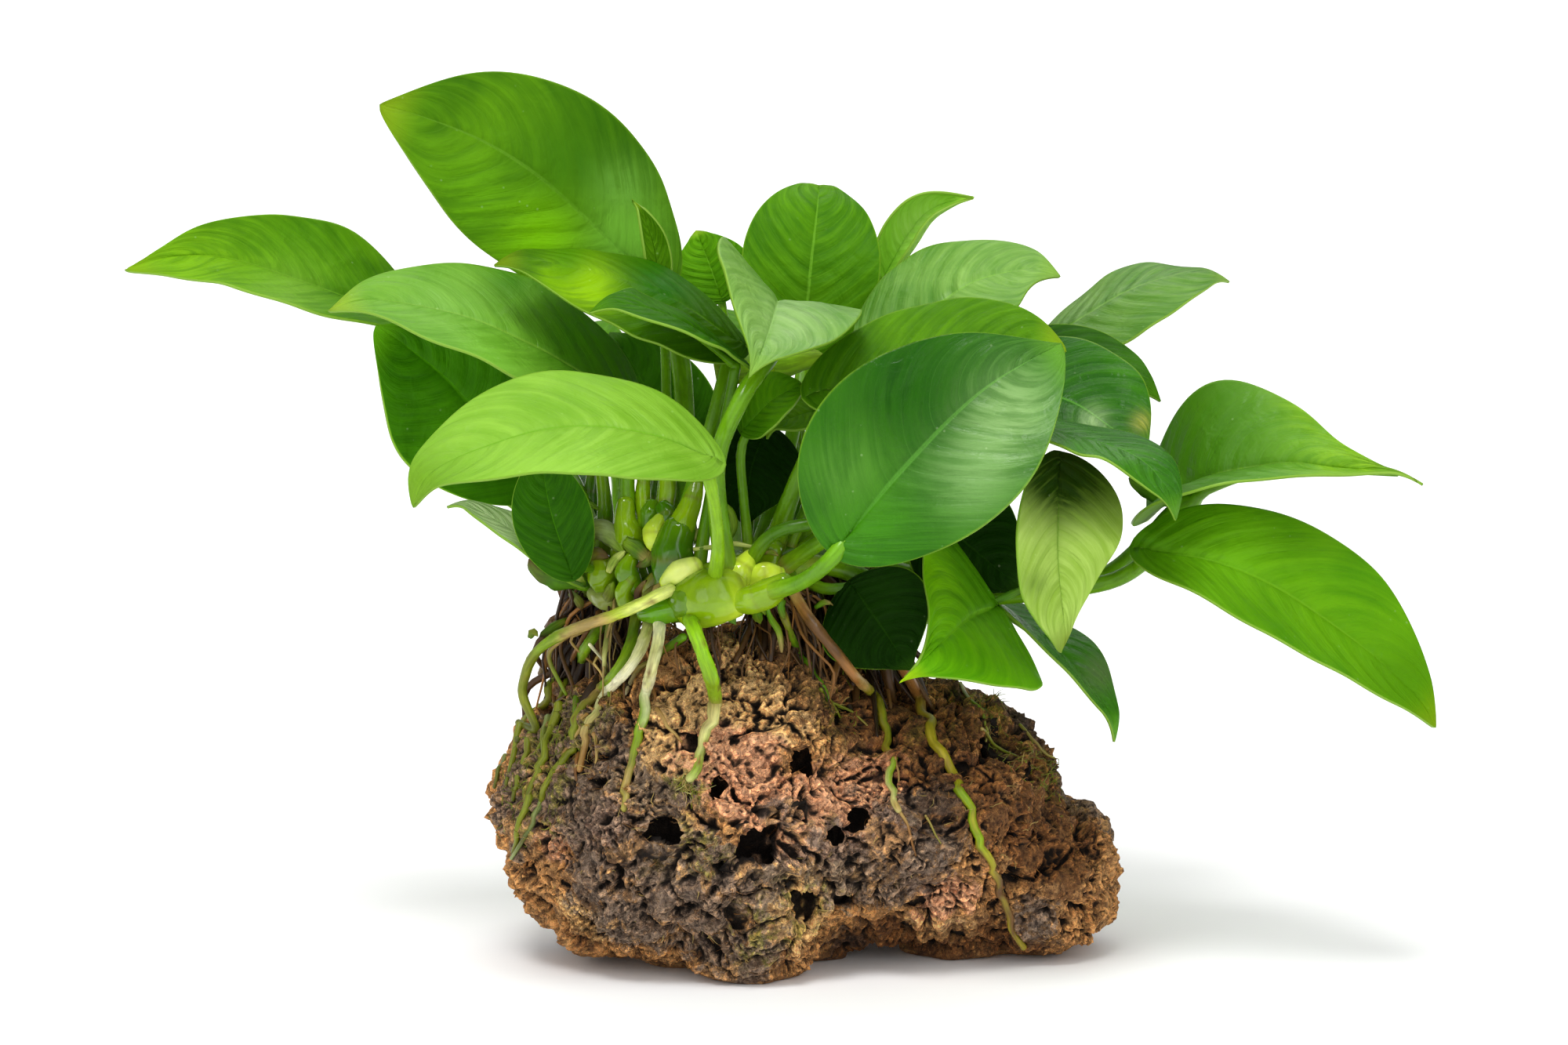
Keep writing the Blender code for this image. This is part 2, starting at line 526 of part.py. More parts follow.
def build_root(root, parts, finish, face, skins):
    radius = root.radius * MM
    points = [seen_at(*place) for place in root.air]
    for place in between(root.stone, ROOT_STEP):
        point, normal = on_face(face, *place)
        points.append(point + normal * (radius + GAP))
    last = len(points) - 1
    radii = [radius * (ROOT_START - ROOT_TAPER * i / last) for i in range(last + 1)]
    made = new_object(root.name, tube_mesh(root.name, smooth_route(points, radii, TUBE_STEP)), parts, finish)
    for skin in skins:
        boolean(made, skin, "DIFFERENCE")
    return made


def main():
    for old in list(bpy.data.objects):
        bpy.data.objects.remove(old)
    scene = bpy.context.scene
    parts = bpy.data.collections.new("anubias_on_stone")
    helpers = bpy.data.collections.new("cutters")
    scene.collection.children.link(parts)
    scene.collection.children.link(helpers)
    rock = material("lava_rock", (0.20, 0.11, 0.07), 0.95)
    green = material("leaf_green", (0.07, 0.30, 0.02), 0.35)
    stem = material("stem_green", (0.30, 0.50, 0.05), 0.45)
    pale = material("root_olive", (0.40, 0.45, 0.15), 0.6)
    stone = build_stone(parts, helpers, rock)
    stone_skin = grown(stone, GAP, "stone_skin", helpers)
    rhizome = build_rhizome(parts, helpers, stem, stone_skin)
    rhizome_skin = grown(rhizome, WIDE_GAP, "rhizome_skin", helpers)
    for leaf in LEAVES:
        build_leaf(leaf, parts, helpers, green, (rhizome_skin,))
    face = face_of(stone)
    for root in ROOTS:
        build_root(root, parts, pale, face, (rhizome_skin, stone_skin))


main()
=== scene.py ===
"""The looks of an anubias plant on a lump of lava stone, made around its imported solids.

Units are metres, +Z is up and the front of the plant looks towards -Y. Places in the tables are
(across, down, back), as in the model: the pixel of the 2000 x 1333 front view where the place is
seen, and how far it lies behind the middle of the stone, in millimetres.
"""

import math
import random
from collections import namedtuple

import bmesh
import bpy
import numpy as np
from mathutils import Matrix, Vector, noise
from mathutils.bvhtree import BVHTree


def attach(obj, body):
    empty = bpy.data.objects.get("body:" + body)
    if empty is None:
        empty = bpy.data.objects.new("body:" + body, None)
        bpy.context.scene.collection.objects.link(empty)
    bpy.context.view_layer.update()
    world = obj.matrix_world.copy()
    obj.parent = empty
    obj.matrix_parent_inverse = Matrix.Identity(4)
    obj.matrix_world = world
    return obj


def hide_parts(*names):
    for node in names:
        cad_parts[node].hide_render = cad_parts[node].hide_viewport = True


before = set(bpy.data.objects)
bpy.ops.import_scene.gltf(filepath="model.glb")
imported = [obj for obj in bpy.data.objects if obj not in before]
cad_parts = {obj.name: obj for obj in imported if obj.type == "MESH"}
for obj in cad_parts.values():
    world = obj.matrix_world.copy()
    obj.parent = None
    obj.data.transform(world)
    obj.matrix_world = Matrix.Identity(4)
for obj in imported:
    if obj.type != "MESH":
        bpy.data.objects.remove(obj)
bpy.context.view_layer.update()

BODY = "root"
MM = 0.001

# The front view that places are read in, and the depth of the stone's front, in mm behind its middle
EYE_DISTANCE = 800 * MM
EYE_ELEVATION = math.radians(8)
LOOKED_AT = Vector((0, 0, 70.5 * MM))
VIEW_MIDDLE = (1000, 666.5)
VIEW_WIDTH = 2000
PIXEL = 0.125 * MM
TO_RIGHT = Vector((1, 0, 0))
TO_TOP = Vector((0, math.sin(EYE_ELEVATION), math.cos(EYE_ELEVATION)))
AWAY = Vector((0, math.cos(EYE_ELEVATION), -math.sin(EYE_ELEVATION)))
EYE = LOOKED_AT - AWAY * EYE_DISTANCE
STONE_FRONT = -10

# Where the vector noise starts, which would otherwise differ in every run
NOISE_SEED = 5

# The studio: how bright the sky is by height, from the horizon to the zenith, then the way to each
# light, its strength and its width in degrees, the floor in metres, and the camera's sensor in mm and
# how far it sees in metres
SKY = ((0.0, 1.0), (0.05, 1.0), (0.09, 0.12), (0.35, 0.22), (0.75, 0.62), (1.0, 0.8))
SUNS = (
    ("key", (-0.14, -0.48, 1.0), 1.6, 20),
    ("left", (-0.75, -0.8, 0.5), 0.55, 40),
    ("right", (0.7, -0.7, 0.6), 0.7, 45),
    ("front", (0.05, -1.0, 0.3), 0.5, 60),
    ("back", (-0.05, 0.8, 1.0), 0.7, 60),
)
FLOOR_REACH = 12
FLOOR_COLOUR = (0.97, 0.97, 0.97)
SENSOR_WIDTH = 36
CLEAR_WAY = 50

# Leaves, as in the model: places along the stalk, places along the midrib from stalk to tip, width
# in mm, the way the upper face looks, then by how many degrees each half is folded up and curled,
# where along the blade each half is widest, the twist towards the tip in degrees and how far the
# lobes reach back as a share of the length. Left comes first in a pair, seen from above.
Leaf = namedtuple(
    "Leaf",
    "name stalk rib width face fold curl belly twist lobe",
    defaults=((0, 0), (0, 0), (0.4, 0.4), 0, 0.07),
)
LEAVES = (
    Leaf("leaf_front_left", ((910, 754, -23), (916, 690, -32), (907, 620, -37)), ((900, 582, -37),
         (840, 556, -39), (760, 545, -40), (680, 549, -42), (600, 577, -44), (548, 606, -45),
         (519, 640, -46)), 25.5, (-0.12, -0.53, 0.84), (3, 3), (0, 0), (0.4, 0.46)),
    Leaf("leaf_big_front", ((968, 758, -27), (1022, 742, -33), (1058, 715, -38)), ((1078, 688, -38),
         (1150, 600, -39), (1250, 500, -38), (1357, 434, -33)), 32, (-0.06, -0.98, 0.2), (3, 3), (0, 12),
         (0.34, 0.5)),
    Leaf("leaf_left_mid", ((802, 690, -10), (800, 620, -10), (800, 560, -10)), ((792, 506, -10),
         (740, 474, -11), (680, 440, -13), (600, 407, -15), (500, 383, -17), (421, 385, -20)), 28.5,
         (0.23, -0.56, 0.79), (16, 0), (0, 0), (0.42, 0.38)),
    Leaf("leaf_top_left", ((870, 690, -16), (874, 560, 0), (866, 450, 7)), ((836, 354, 10),
         (788, 318, 10), (740, 272, 9), (680, 220, 7), (600, 172, 5), (488, 131, 2)), 30.5,
         (0.1, -0.95, 0.28), (3, 3), (0, 0), (0.5, 0.42)),
    Leaf("leaf_far_left", ((757, 692, -1), (722, 600, 11), (640, 510, 15), (570, 450, 12)),
         ((515, 415, 6), (425, 373, 2), (340, 342, -1), (260, 326, -3), (162, 335, -8)), 26.5,
         (0.21, -0.4, 0.9), (20, 15), (0, 0), (0.46, 0.28), -22),
    Leaf("leaf_dark_left", ((748, 715, -3), (722, 660, -4)), ((690, 612, -1), (612, 530, -4),
         (560, 475, -7), (486, 416, -11)), 28.5, (0, -0.9, 0.4), (4, 4), (0, 0), (0.52, 0.4)),
    Leaf("leaf_small_left", ((775, 735, -5), (748, 724, -14)), ((728, 730, -17), (702, 650, -17),
         (688, 570, -16)), 12.5, (0, -0.98, 0.2), (5, 5), (0, 0), (0.45, 0.45)),
    Leaf("leaf_low_left", ((762, 748, 0), (750, 748, -8)), ((738, 741, -10), (665, 684, -11),
         (577, 634, -10)), 10, (0.3, -0.32, 0.9), (6, 6)),
    Leaf("leaf_upper_band", ((860, 710, -19), (885, 620, -16), (915, 520, -12)), ((938, 436, -8),
         (870, 385, -9), (810, 360, -10), (740, 342, -12), (634, 323, -15)), 25, (0.12, -0.15, 0.98),
         (-28, 4)),
    Leaf("leaf_dark_band", ((888, 748, -19), (905, 640, -17), (925, 540, -16)), ((943, 459, -15),
         (890, 422, -21), (830, 395, -28), (757, 384, -32)), 18, (0.15, -0.28, 0.95), (0, 4)),
    Leaf("leaf_centre_fold", ((928, 745, -21), (914, 600, -25), (945, 510, -26), (986, 448, -17)),
         ((990, 405, -4), (992, 384, -14), (980, 425, -27), (962, 469, -38)), 26.5, (0.43, -0.3, 0.84),
         (21, 20), (0, 0), (0.36, 0.34)),
    Leaf("leaf_centre_back", ((958, 732, -4), (1000, 600, 6), (1020, 500, 11)), ((1026, 440, 14),
         (1033, 350, 14), (1042, 270, 19), (1046, 226, 29)), 22.5, (0, -1, 0.1), (3, 3), (0, 0),
         (0.4, 0.38)),
    Leaf("leaf_rolled", ((970, 722, 8), (1060, 560, 18), (1108, 430, 21)), ((1127, 355, 21),
         (1155, 304, 21), (1186, 268, 20), (1237, 250, 18)), 12.5, (-0.25, -0.94, 0.25), (10, 10),
         (100, 100)),
    Leaf("leaf_right_upper", ((1010, 718, -8), (1055, 590, -1), (1092, 490, 1)), ((1110, 438, 2),
         (1180, 398, 3), (1240, 362, 4), (1300, 344, 5), (1350, 341, 4)), 27, (-0.29, -0.54, 0.79)),
    Leaf("leaf_right_fold", ((984, 705, -13), (1010, 630, -18), (1040, 560, -20)), ((1060, 498, -20),
         (1130, 478, -18), (1240, 452, -19), (1356, 437, -22)), 26, (-0.14, -0.6, 0.78), (2, 2), (0, 0),
         (0.5, 0.4), 0, 0.13),
    Leaf("leaf_right_far_upper", ((1050, 704, 9), (1130, 600, 17), (1230, 510, 24)), ((1330, 440, 25),
         (1400, 392, 24), (1480, 355, 24), (1568, 345, 26)), 25, (-0.33, -0.32, 0.89), (-10, -10)),
    Leaf("leaf_right_behind", ((1040, 706, 0), (1115, 610, 6), (1200, 540, 9)), ((1270, 490, 9),
         (1370, 462, 8), (1480, 499, 0)), 17, (0.25, -0.64, 0.72)),
    Leaf("leaf_right_gloss", ((1028, 712, -5), (1090, 625, 0), (1200, 520, 0)), ((1268, 478, -5),
         (1372, 516, -10), (1464, 580, -18)), 27, (0.36, -0.6, 0.72), (8, 8)),
    Leaf("leaf_right_thin", ((1008, 712, -9), (1120, 626, -18), (1240, 556, -24)), ((1310, 540, -26),
         (1400, 564, -29), (1460, 589, -33), (1508, 653, -38)), 17, (0.05, -0.1, 0.99)),
    Leaf("leaf_right_out_upper", ((1052, 710, 5), (1200, 740, 0), (1310, 736, -1), (1400, 738, 1),
         (1455, 700, 1), (1490, 662, -1)), ((1508, 632, -2), (1550, 606, -6), (1620, 594, -10),
         (1700, 596, -15), (1816, 606, -20)), 33, (-0.09, -0.48, 0.87), (26, 26), (0, 0), (0.2, 0.25), 0,
         0.2),
    Leaf("leaf_right_out_lower", ((1040, 706, 0), (1200, 760, -3), (1400, 745, -10)), ((1470, 704, -16),
         (1550, 718, -18), (1650, 762, -20), (1740, 826, -22), (1838, 920, -26)), 26.5,
         (0.33, -0.69, 0.64), (8, 18), (0, 0), (0.42, 0.46)),
    Leaf("leaf_right_hanging", ((990, 728, -15), (1110, 655, -25), (1290, 592, -28)), ((1350, 592, -29),
         (1350, 690, -34), (1354, 770, -35), (1362, 831, -36)), 21, (0.5, -0.85, 0.12), (14, 20), (0, 0),
         (0.28, 0.5)),
    Leaf("leaf_low_right", ((1012, 721, -12), (1055, 721, -10), (1100, 736, -6), (1145, 768, -8),
         (1215, 790, -9)), ((1270, 774, -10), (1240, 785, -20), (1200, 820, -30), (1155, 864, -37)), 31,
         (0.48, -0.65, 0.59), (3, 8), (0, 0), (0.33, 0.2), 0, 0),
    Leaf("leaf_low_right_narrow", ((1060, 708, 13), (1150, 718, 15), (1230, 738, 13)), ((1262, 762, 8),
         (1330, 812, -3), (1375, 855, -8), (1432, 936, -14)), 16, (0.64, -0.36, 0.67), (12, 12)),
    Leaf("leaf_low_dark", ((1010, 728, -7), (1050, 750, -12)), ((1088, 748, -14), (1118, 790, -17),
         (1160, 853, -20)), 19, (-0.2, -0.95, 0.2)),
    Leaf("leaf_behind_right", ((945, 738, -18), (985, 682, -22), (1060, 664, -21)), ((1175, 645, -10),
         (1235, 695, -7), (1302, 752, -8)), 20, (0, -0.9, 0.4)),
    Leaf("leaf_centre_dark", ((945, 732, -8), (1000, 650, -5), (998, 580, -4)), ((976, 550, -5),
         (958, 600, -8), (950, 668, -11)), 17, (0, -1, 0.15), (5, 5)),
    Leaf("leaf_centre_small", ((958, 738, -17), (950, 650, -15), (945, 580, -15)), ((950, 548, -16),
         (988, 508, -17), (1030, 490, -16)), 12, (0.1, -0.5, 0.85), (10, 10)),
    Leaf("leaf_centre_bright", ((996, 725, -11), (1035, 630, -10), (1066, 545, -7)), ((1062, 520, -7),
         (1020, 530, -10), (976, 546, -12)), 12, (0, -0.35, 0.93), (5, 5)),
    Leaf("leaf_top_back", ((930, 740, -8), (915, 580, 8), (926, 450, 17)), ((920, 380, 18),
         (902, 330, 19), (888, 293, 20)), 13, (0, -0.95, 0.2), (10, 10)),
    Leaf("leaf_young_tip", ((842, 670, -13), (850, 560, -5), (848, 440, 3)), ((842, 372, 5),
         (832, 310, 5), (812, 256, 4)), 5.5, (0.3, -0.9, 0.2), (10, 10), (50, 50)),
    Leaf("leaf_inner_left", ((838, 690, -13), (862, 655, 2)), ((864, 612, 9), (844, 545, 12),
         (816, 480, 14), (778, 420, 17)), 20, (0.1, -0.9, 0.3), (4, 4)),
    Leaf("leaf_back_left", ((786, 734, 17), (790, 620, 24), (770, 530, 30)), ((745, 480, 36),
         (700, 445, 45), (640, 430, 58)), 25, (0, -0.3, 0.95), (6, 6)),
    Leaf("leaf_back", ((942, 732, 4), (950, 600, 20), (960, 480, 29)), ((962, 440, 34), (963, 405, 47),
         (965, 400, 66)), 26, (0, -0.2, 0.97), (6, 6)),
    Leaf("leaf_back_right", ((976, 716, 15), (995, 650, 20), (1090, 560, 28)), ((1170, 490, 37),
         (1220, 460, 46), (1290, 445, 58)), 25, (0, -0.3, 0.95), (6, 6)),
    Leaf("leaf_back_low_left", ((772, 740, 9), (755, 690, 22), (742, 645, 32)), ((725, 630, 37),
         (690, 625, 50), (655, 640, 66)), 23, (-0.2, 0, 0.97), (6, 6)),
    Leaf("leaf_back_low_right", ((990, 722, 10), (1035, 700, 20), (1100, 645, 30)), ((1145, 612, 37),
         (1190, 605, 50), (1240, 620, 66)), 24, (0.2, 0, 0.97), (6, 6)),
)
# The outline of every blade: how round its base is and how sharp its tip
BASE_ROUNDNESS = 0.55
TIP_SHARPNESS = 0.5

# The fine shape of a blade, with the heights that a leaf of the usual width in mm has. Numbers
# without MM are counts or shares of its length or its half width.
BLADE_THICKNESS = 0.45 * MM
BLADE_ROWS, BLADE_COLUMNS = 64, 28
# How evenly its rows and its columns are spaced, where 1 is quite even
ROW_EVENNESS, COLUMN_EVENNESS = 0.35, 0.3
USUAL_WIDTH = 28
RIB_STEP = 1 * MM
HEADING_REACH = 0.05
SIDE_VEINS = 9
VEIN_SWEEP, VEIN_CURVE = 0.3, 1.4
VEIN_STAGGER = 0.021
GROOVE_DEPTH, GROOVE_WIDTH = 0.35 * MM, 0.045
QUILT_HEIGHT = 0.14 * MM
HALF_ARCH = 0.5 * MM
EDGE_WAVE = 0.3 * MM
ROLL_HEIGHT = 0.8 * MM
TIP_HOOK, HOOK_START, HOOK_CURVE = 2.1 * MM, 0.88, 1.8
# Waves of the edge: radians along the blade, and how high the second one is beside the first
FIRST_WAVE, SECOND_WAVE, SECOND_SHARE = 11, 23, 0.6

# A stalk: its radius as a share of the leaf's width, its sides, how swollen its foot is, where the
# foot's colour fades and where the ring of the old sheath sits
STALK_SHARE = 0.052
THINNEST_STALK = 0.8 * MM
STALK_SIDES = 16
STALK_STEP = 1.2 * MM
FOOT_SWELL = 1.4
FOOT_COLOUR = (0.22, 0.40, 0.008)
FOOT_START, FOOT_END = 3 * MM, 12 * MM
STALK_RING = 4.8 * MM
STALK_RING_COLOUR = (0.34, 0.20, 0.06)
THINNEST_MIDRIB = 0.12 * MM
# The knee where a stalk meets its blade: how far it swells, as a share of the radius, and how far the
# swelling and its lighter colour reach
KNEE_SWELL, KNEE_REACH, KNEE_LIGHT_REACH = 0.16, 2.2 * MM, 3 * MM
# How thick a stalk is, where it differs from the other leaves'
STALK_GIRTHS = {"leaf_front_left": 0.74, "leaf_big_front": 0.76, "leaf_left_mid": 0.85}

# The midrib under a blade: the share of its length, the radius as a share of the stalk's, and how
# many radii its middle lies below the face
MIDRIB = ((0.0, 0.85, 0.75), (0.03, 0.7, 1.15), (0.1, 0.55, 1.2), (0.35, 0.42, 1.1), (0.65, 0.25, 1.1),
          (0.9, 0.1, 1.1))

# Colours of a blade: shaded and lit green of its upper face, its veins, its tip, how much painted
# shade darkens its stalk end, where the leaves around it shade it, how strong its veins show, its
# roughness and how much light comes through
Tone = namedtuple("Tone", "deep light vein tip shade veins roughness through")
TONES = {
    "spring": Tone((0.16, 0.39, 0.012), (0.33, 0.62, 0.060), (0.17, 0.44, 0.010), (0.24, 0.46, 0.02),
                   0.1, 0.4, 0.42, 0.25),
    "mid": Tone((0.060, 0.23, 0.002), (0.22, 0.48, 0.040), (0.26, 0.50, 0.050), (0.36, 0.52, 0.02),
                0.7, 0.45, 0.36, 0.2),
    "full": Tone((0.030, 0.13, 0.001), (0.140, 0.36, 0.005), (0.15, 0.37, 0.020), (0.30, 0.46, 0.010),
                 0.25, 0.45, 0.42, 0.25),
    "lit": Tone((0.055, 0.22, 0.001), (0.155, 0.40, 0.004), (0.17, 0.42, 0.012), (0.34, 0.50, 0.006),
                0.45, 0.4, 0.42, 0.28),
    "gloss": Tone((0.012, 0.095, 0.001), (0.050, 0.215, 0.003), (0.10, 0.34, 0.03), (0.14, 0.38, 0.02),
                  0.1, 0.5, 0.26, 0.12),
    "deep": Tone((0.012, 0.065, 0.001), (0.042, 0.165, 0.001), (0.05, 0.19, 0.002), (0.08, 0.24, 0.002),
                 0.2, 0.35, 0.45, 0.12),
    # Painted shade: near-black greens for leaves that lie in deep shade
    "dusk": Tone((0.003, 0.018, 0.000), (0.010, 0.045, 0.001), (0.012, 0.05, 0.001), (0.02, 0.07, 0.001),
                 0.2, 0.3, 0.5, 0.04),
    # Painted sheen: the light green is whitened and blued like light mirrored on waxy leaves
    "hazy": Tone((0.055, 0.21, 0.008), (0.29, 0.53, 0.100), (0.24, 0.50, 0.07), (0.30, 0.54, 0.06),
                 0.25, 0.5, 0.34, 0.2),
    "pale": Tone((0.24, 0.42, 0.030), (0.56, 0.78, 0.18), (0.18, 0.36, 0.03), (0.26, 0.46, 0.02),
                 0.97, 0.6, 0.45, 0.25),
    "yellow": Tone((0.10, 0.30, 0.001), (0.27, 0.54, 0.002), (0.08, 0.28, 0.002), (0.40, 0.62, 0.01),
                   0.9, 0.3, 0.42, 0.3),
}
# The leaves of each tone, without the leaf_ of their names
LEAF_TONES = {
    "spring": "front_left rolled",
    "mid": "left_mid right_out_upper",
    "full": "top_left far_left centre_back top_back young_tip upper_band right_fold back_left back "
            "back_right",
    "lit": "right_out_lower low_right centre_small",
    "gloss": "big_front low_right_narrow right_thin right_gloss",
    "deep": "dark_left dark_band small_left inner_left right_behind back_low_left back_low_right",
    # The leaves that lie in deep shade, darkened as painted shade
    "dusk": "low_dark behind_right centre_dark",
    # Leaves whose light green is whitened as a painted sheen
    "hazy": "right_upper right_far_upper centre_fold low_left",
    "pale": "right_hanging",
    "yellow": "centre_bright",
}
# The underside of a blade, where its noise starts, and the blade's thin pale margin
UNDERSIDE = Tone((0.16, 0.36, 0.03), (0.36, 0.58, 0.12), (0.10, 0.27, 0.02), (0.36, 0.56, 0.08),
                 0.2, 0.6, 0.55, 0.3)
UNDERSIDE_SEED = 3
MARGIN_COLOUR = (0.27, 0.50, 0.03)
# The colour of a stalk, and of one whose leaf has a tone that calls for another; the darkest, for
# the leaves in deep shade, is painted shade
STALK_COLOUR = (0.13, 0.32, 0.004)
STALK_COLOURS = {
    "gloss": (0.13, 0.33, 0.006),
    "spring": (0.24, 0.48, 0.010),
    "deep": (0.09, 0.24, 0.003),
    "dusk": (0.07, 0.20, 0.003),
}

# How much lighter than its tone a leaf is: partly its own colour, partly painted light and shade
# that lightens or darkens the whole leaf
LEAF_GAINS = {
    "leaf_low_right": 1.5, "leaf_low_left": 1.2, "leaf_far_left": 1.08, "leaf_dark_left": 1.65,
    "leaf_top_left": 0.86, "leaf_rolled": 1.45, "leaf_top_back": 1.45, "leaf_centre_back": 1.15,
    "leaf_right_out_lower": 0.97, "leaf_low_right_narrow": 1.3, "leaf_right_far_upper": 0.85,
    "leaf_upper_band": 0.8, "leaf_dark_band": 1.2, "leaf_small_left": 1.2,
}
# Patches on a leaf that differ from its tone, most of them painted light: the pale ones are painted
# sheen and highlights, as on big_front, right_gloss, centre_fold, rolled and low_right_narrow, the
# darkest are painted shadow, as at the top of right_hanging and the stalk end of left_mid, and the
# rest are partly the leaf's own colour. For each: the pixel where it is seen, its radius in mm, its
# colour and how strong it is
LEAF_LIGHT_AND_TONE_PATCHES = {
    "leaf_big_front": (
        (1285, 525, 7.5, (0.34, 0.56, 0.20), 0.6), (1240, 600, 7.0, (0.30, 0.52, 0.18), 0.40),
        (1160, 490, 10.0, (0.008, 0.070, 0.000), 0.9), (1080, 600, 6.0, (0.10, 0.28, 0.03), 0.5),
        (1130, 690, 7.0, (0.05, 0.24, 0.004), 0.6),
    ),
    "leaf_upper_band": (
        (748, 368, 4.6, (0.32, 0.60, 0.002), 0.95), (708, 350, 2.6, (0.24, 0.50, 0.002), 0.85),
        (720, 328, 4.0, (0.08, 0.26, 0.001), 0.8), (850, 350, 7.0, (0.022, 0.15, 0.000), 0.9),
    ),
    "leaf_right_hanging": (
        (1362, 604, 6.8, (0.008, 0.036, 0.000), 1.0), (1345, 580, 7.0, (0.006, 0.028, 0.000), 0.95),
        (1318, 745, 2.0, (0.06, 0.15, 0.002), 0.5), (1362, 822, 2.4, (0.22, 0.30, 0.03), 0.6),
    ),
    "leaf_front_left": (
        (545, 612, 5.0, (0.15, 0.33, 0.015), 0.6), (760, 590, 8.0, (0.42, 0.72, 0.10), 0.3),
    ),
    "leaf_left_mid": (
        (560, 410, 9.0, (0.22, 0.47, 0.08), 0.4), (740, 420, 7.0, (0.045, 0.21, 0.001), 0.6),
        (620, 465, 6.0, (0.20, 0.50, 0.04), 0.5), (650, 352, 4.0, (0.04, 0.20, 0.001), 0.6),
    ),
    "leaf_top_left": (
        (735, 205, 8.0, (0.035, 0.15, 0.002), 0.6), (800, 300, 6.0, (0.18, 0.46, 0.04), 0.7),
        (795, 232, 4.5, (0.16, 0.38, 0.05), 0.55), (600, 270, 7.0, (0.15, 0.42, 0.004), 0.5),
        (690, 305, 6.0, (0.20, 0.52, 0.002), 0.7),
    ),
    "leaf_far_left": (
        (235, 345, 10.0, (0.24, 0.50, 0.01), 0.6), (370, 385, 6.0, (0.24, 0.46, 0.05), 0.45),
    ),
    "leaf_centre_fold": (
        (1010, 412, 6.0, (0.36, 0.56, 0.20), 0.4),
    ),
    "leaf_rolled": (
        (1170, 290, 6.0, (0.42, 0.66, 0.16), 0.5),
    ),
    "leaf_right_out_lower": (
        (1800, 870, 8.0, (0.08, 0.24, 0.001), 0.7), (1560, 700, 8.0, (0.20, 0.52, 0.01), 0.6),
    ),
    "leaf_right_out_upper": (
        (1545, 550, 13.0, (0.050, 0.19, 0.003), 0.65), (1672, 505, 4.5, (0.34, 0.58, 0.006), 0.6),
        (1730, 580, 6.5, (0.30, 0.56, 0.008), 0.7),
    ),
    "leaf_low_right_narrow": (
        (1402, 858, 3.2, (0.16, 0.25, 0.08), 0.6),
    ),
    "leaf_right_gloss": (
        (1455, 540, 1.6, (0.42, 0.40, 0.06), 0.7), (1395, 538, 2.2, (0.42, 0.62, 0.26), 0.7),
    ),
    "leaf_low_left": (
        (640, 672, 9.0, (0.78, 0.92, 0.54), 1.0),
    ),
    "leaf_low_right": (
        (1180, 740, 5.0, (0.34, 0.74, 0.003), 0.5), (1330, 850, 4.5, (0.12, 0.38, 0.001), 0.5),
    ),
}

# How strongly a blade mirrors its surroundings, and the kinds of blade that do it otherwise
DULL = 0.06
SHINE = {"leaf_gloss": 0.13, "leaf_hazy": 0.22, "leaf_mid": 0.2, "leaf_spring": 0.15, "leaf_dusk": 0.04}
# Tinted skins: how rough and how glossy each is, how much light comes through it, how strong its
# lengthwise streaks are and how deep its grain is in mm
SKINS = {
    "stalk": (0.26, 0.3, 0.12, 0.35, 0.05),
    "rhizome": (0.13, 0.5, 0.05, 0.0, 0.03),
    "sheath": (0.5, 0.35, 0.25, 0.6, 0.08),
    "root": (0.4, 0.35, 0.05, 0.5, 0.14),
}

# Rhizome: how far apart the sections of its bulbs are, and their sides
BULB_STEP = 0.5 * MM
BULB_SIDES = 28
# Rings on the bulbs where old leaves stood: their spacing in mm and their colour
SCAR_SPACING = 2.6
SCAR_COLOUR = (0.16, 0.14, 0.02)
# How lumpy a bulb is and how deep its rings are, as shares of its radius
BULB_LUMPS, SCAR_DEPTH = 0.13, 0.035
# The rings of the dome that closes a bulb's end, in degrees above its last section
DOME_RINGS = (80, 60, 40, 20)
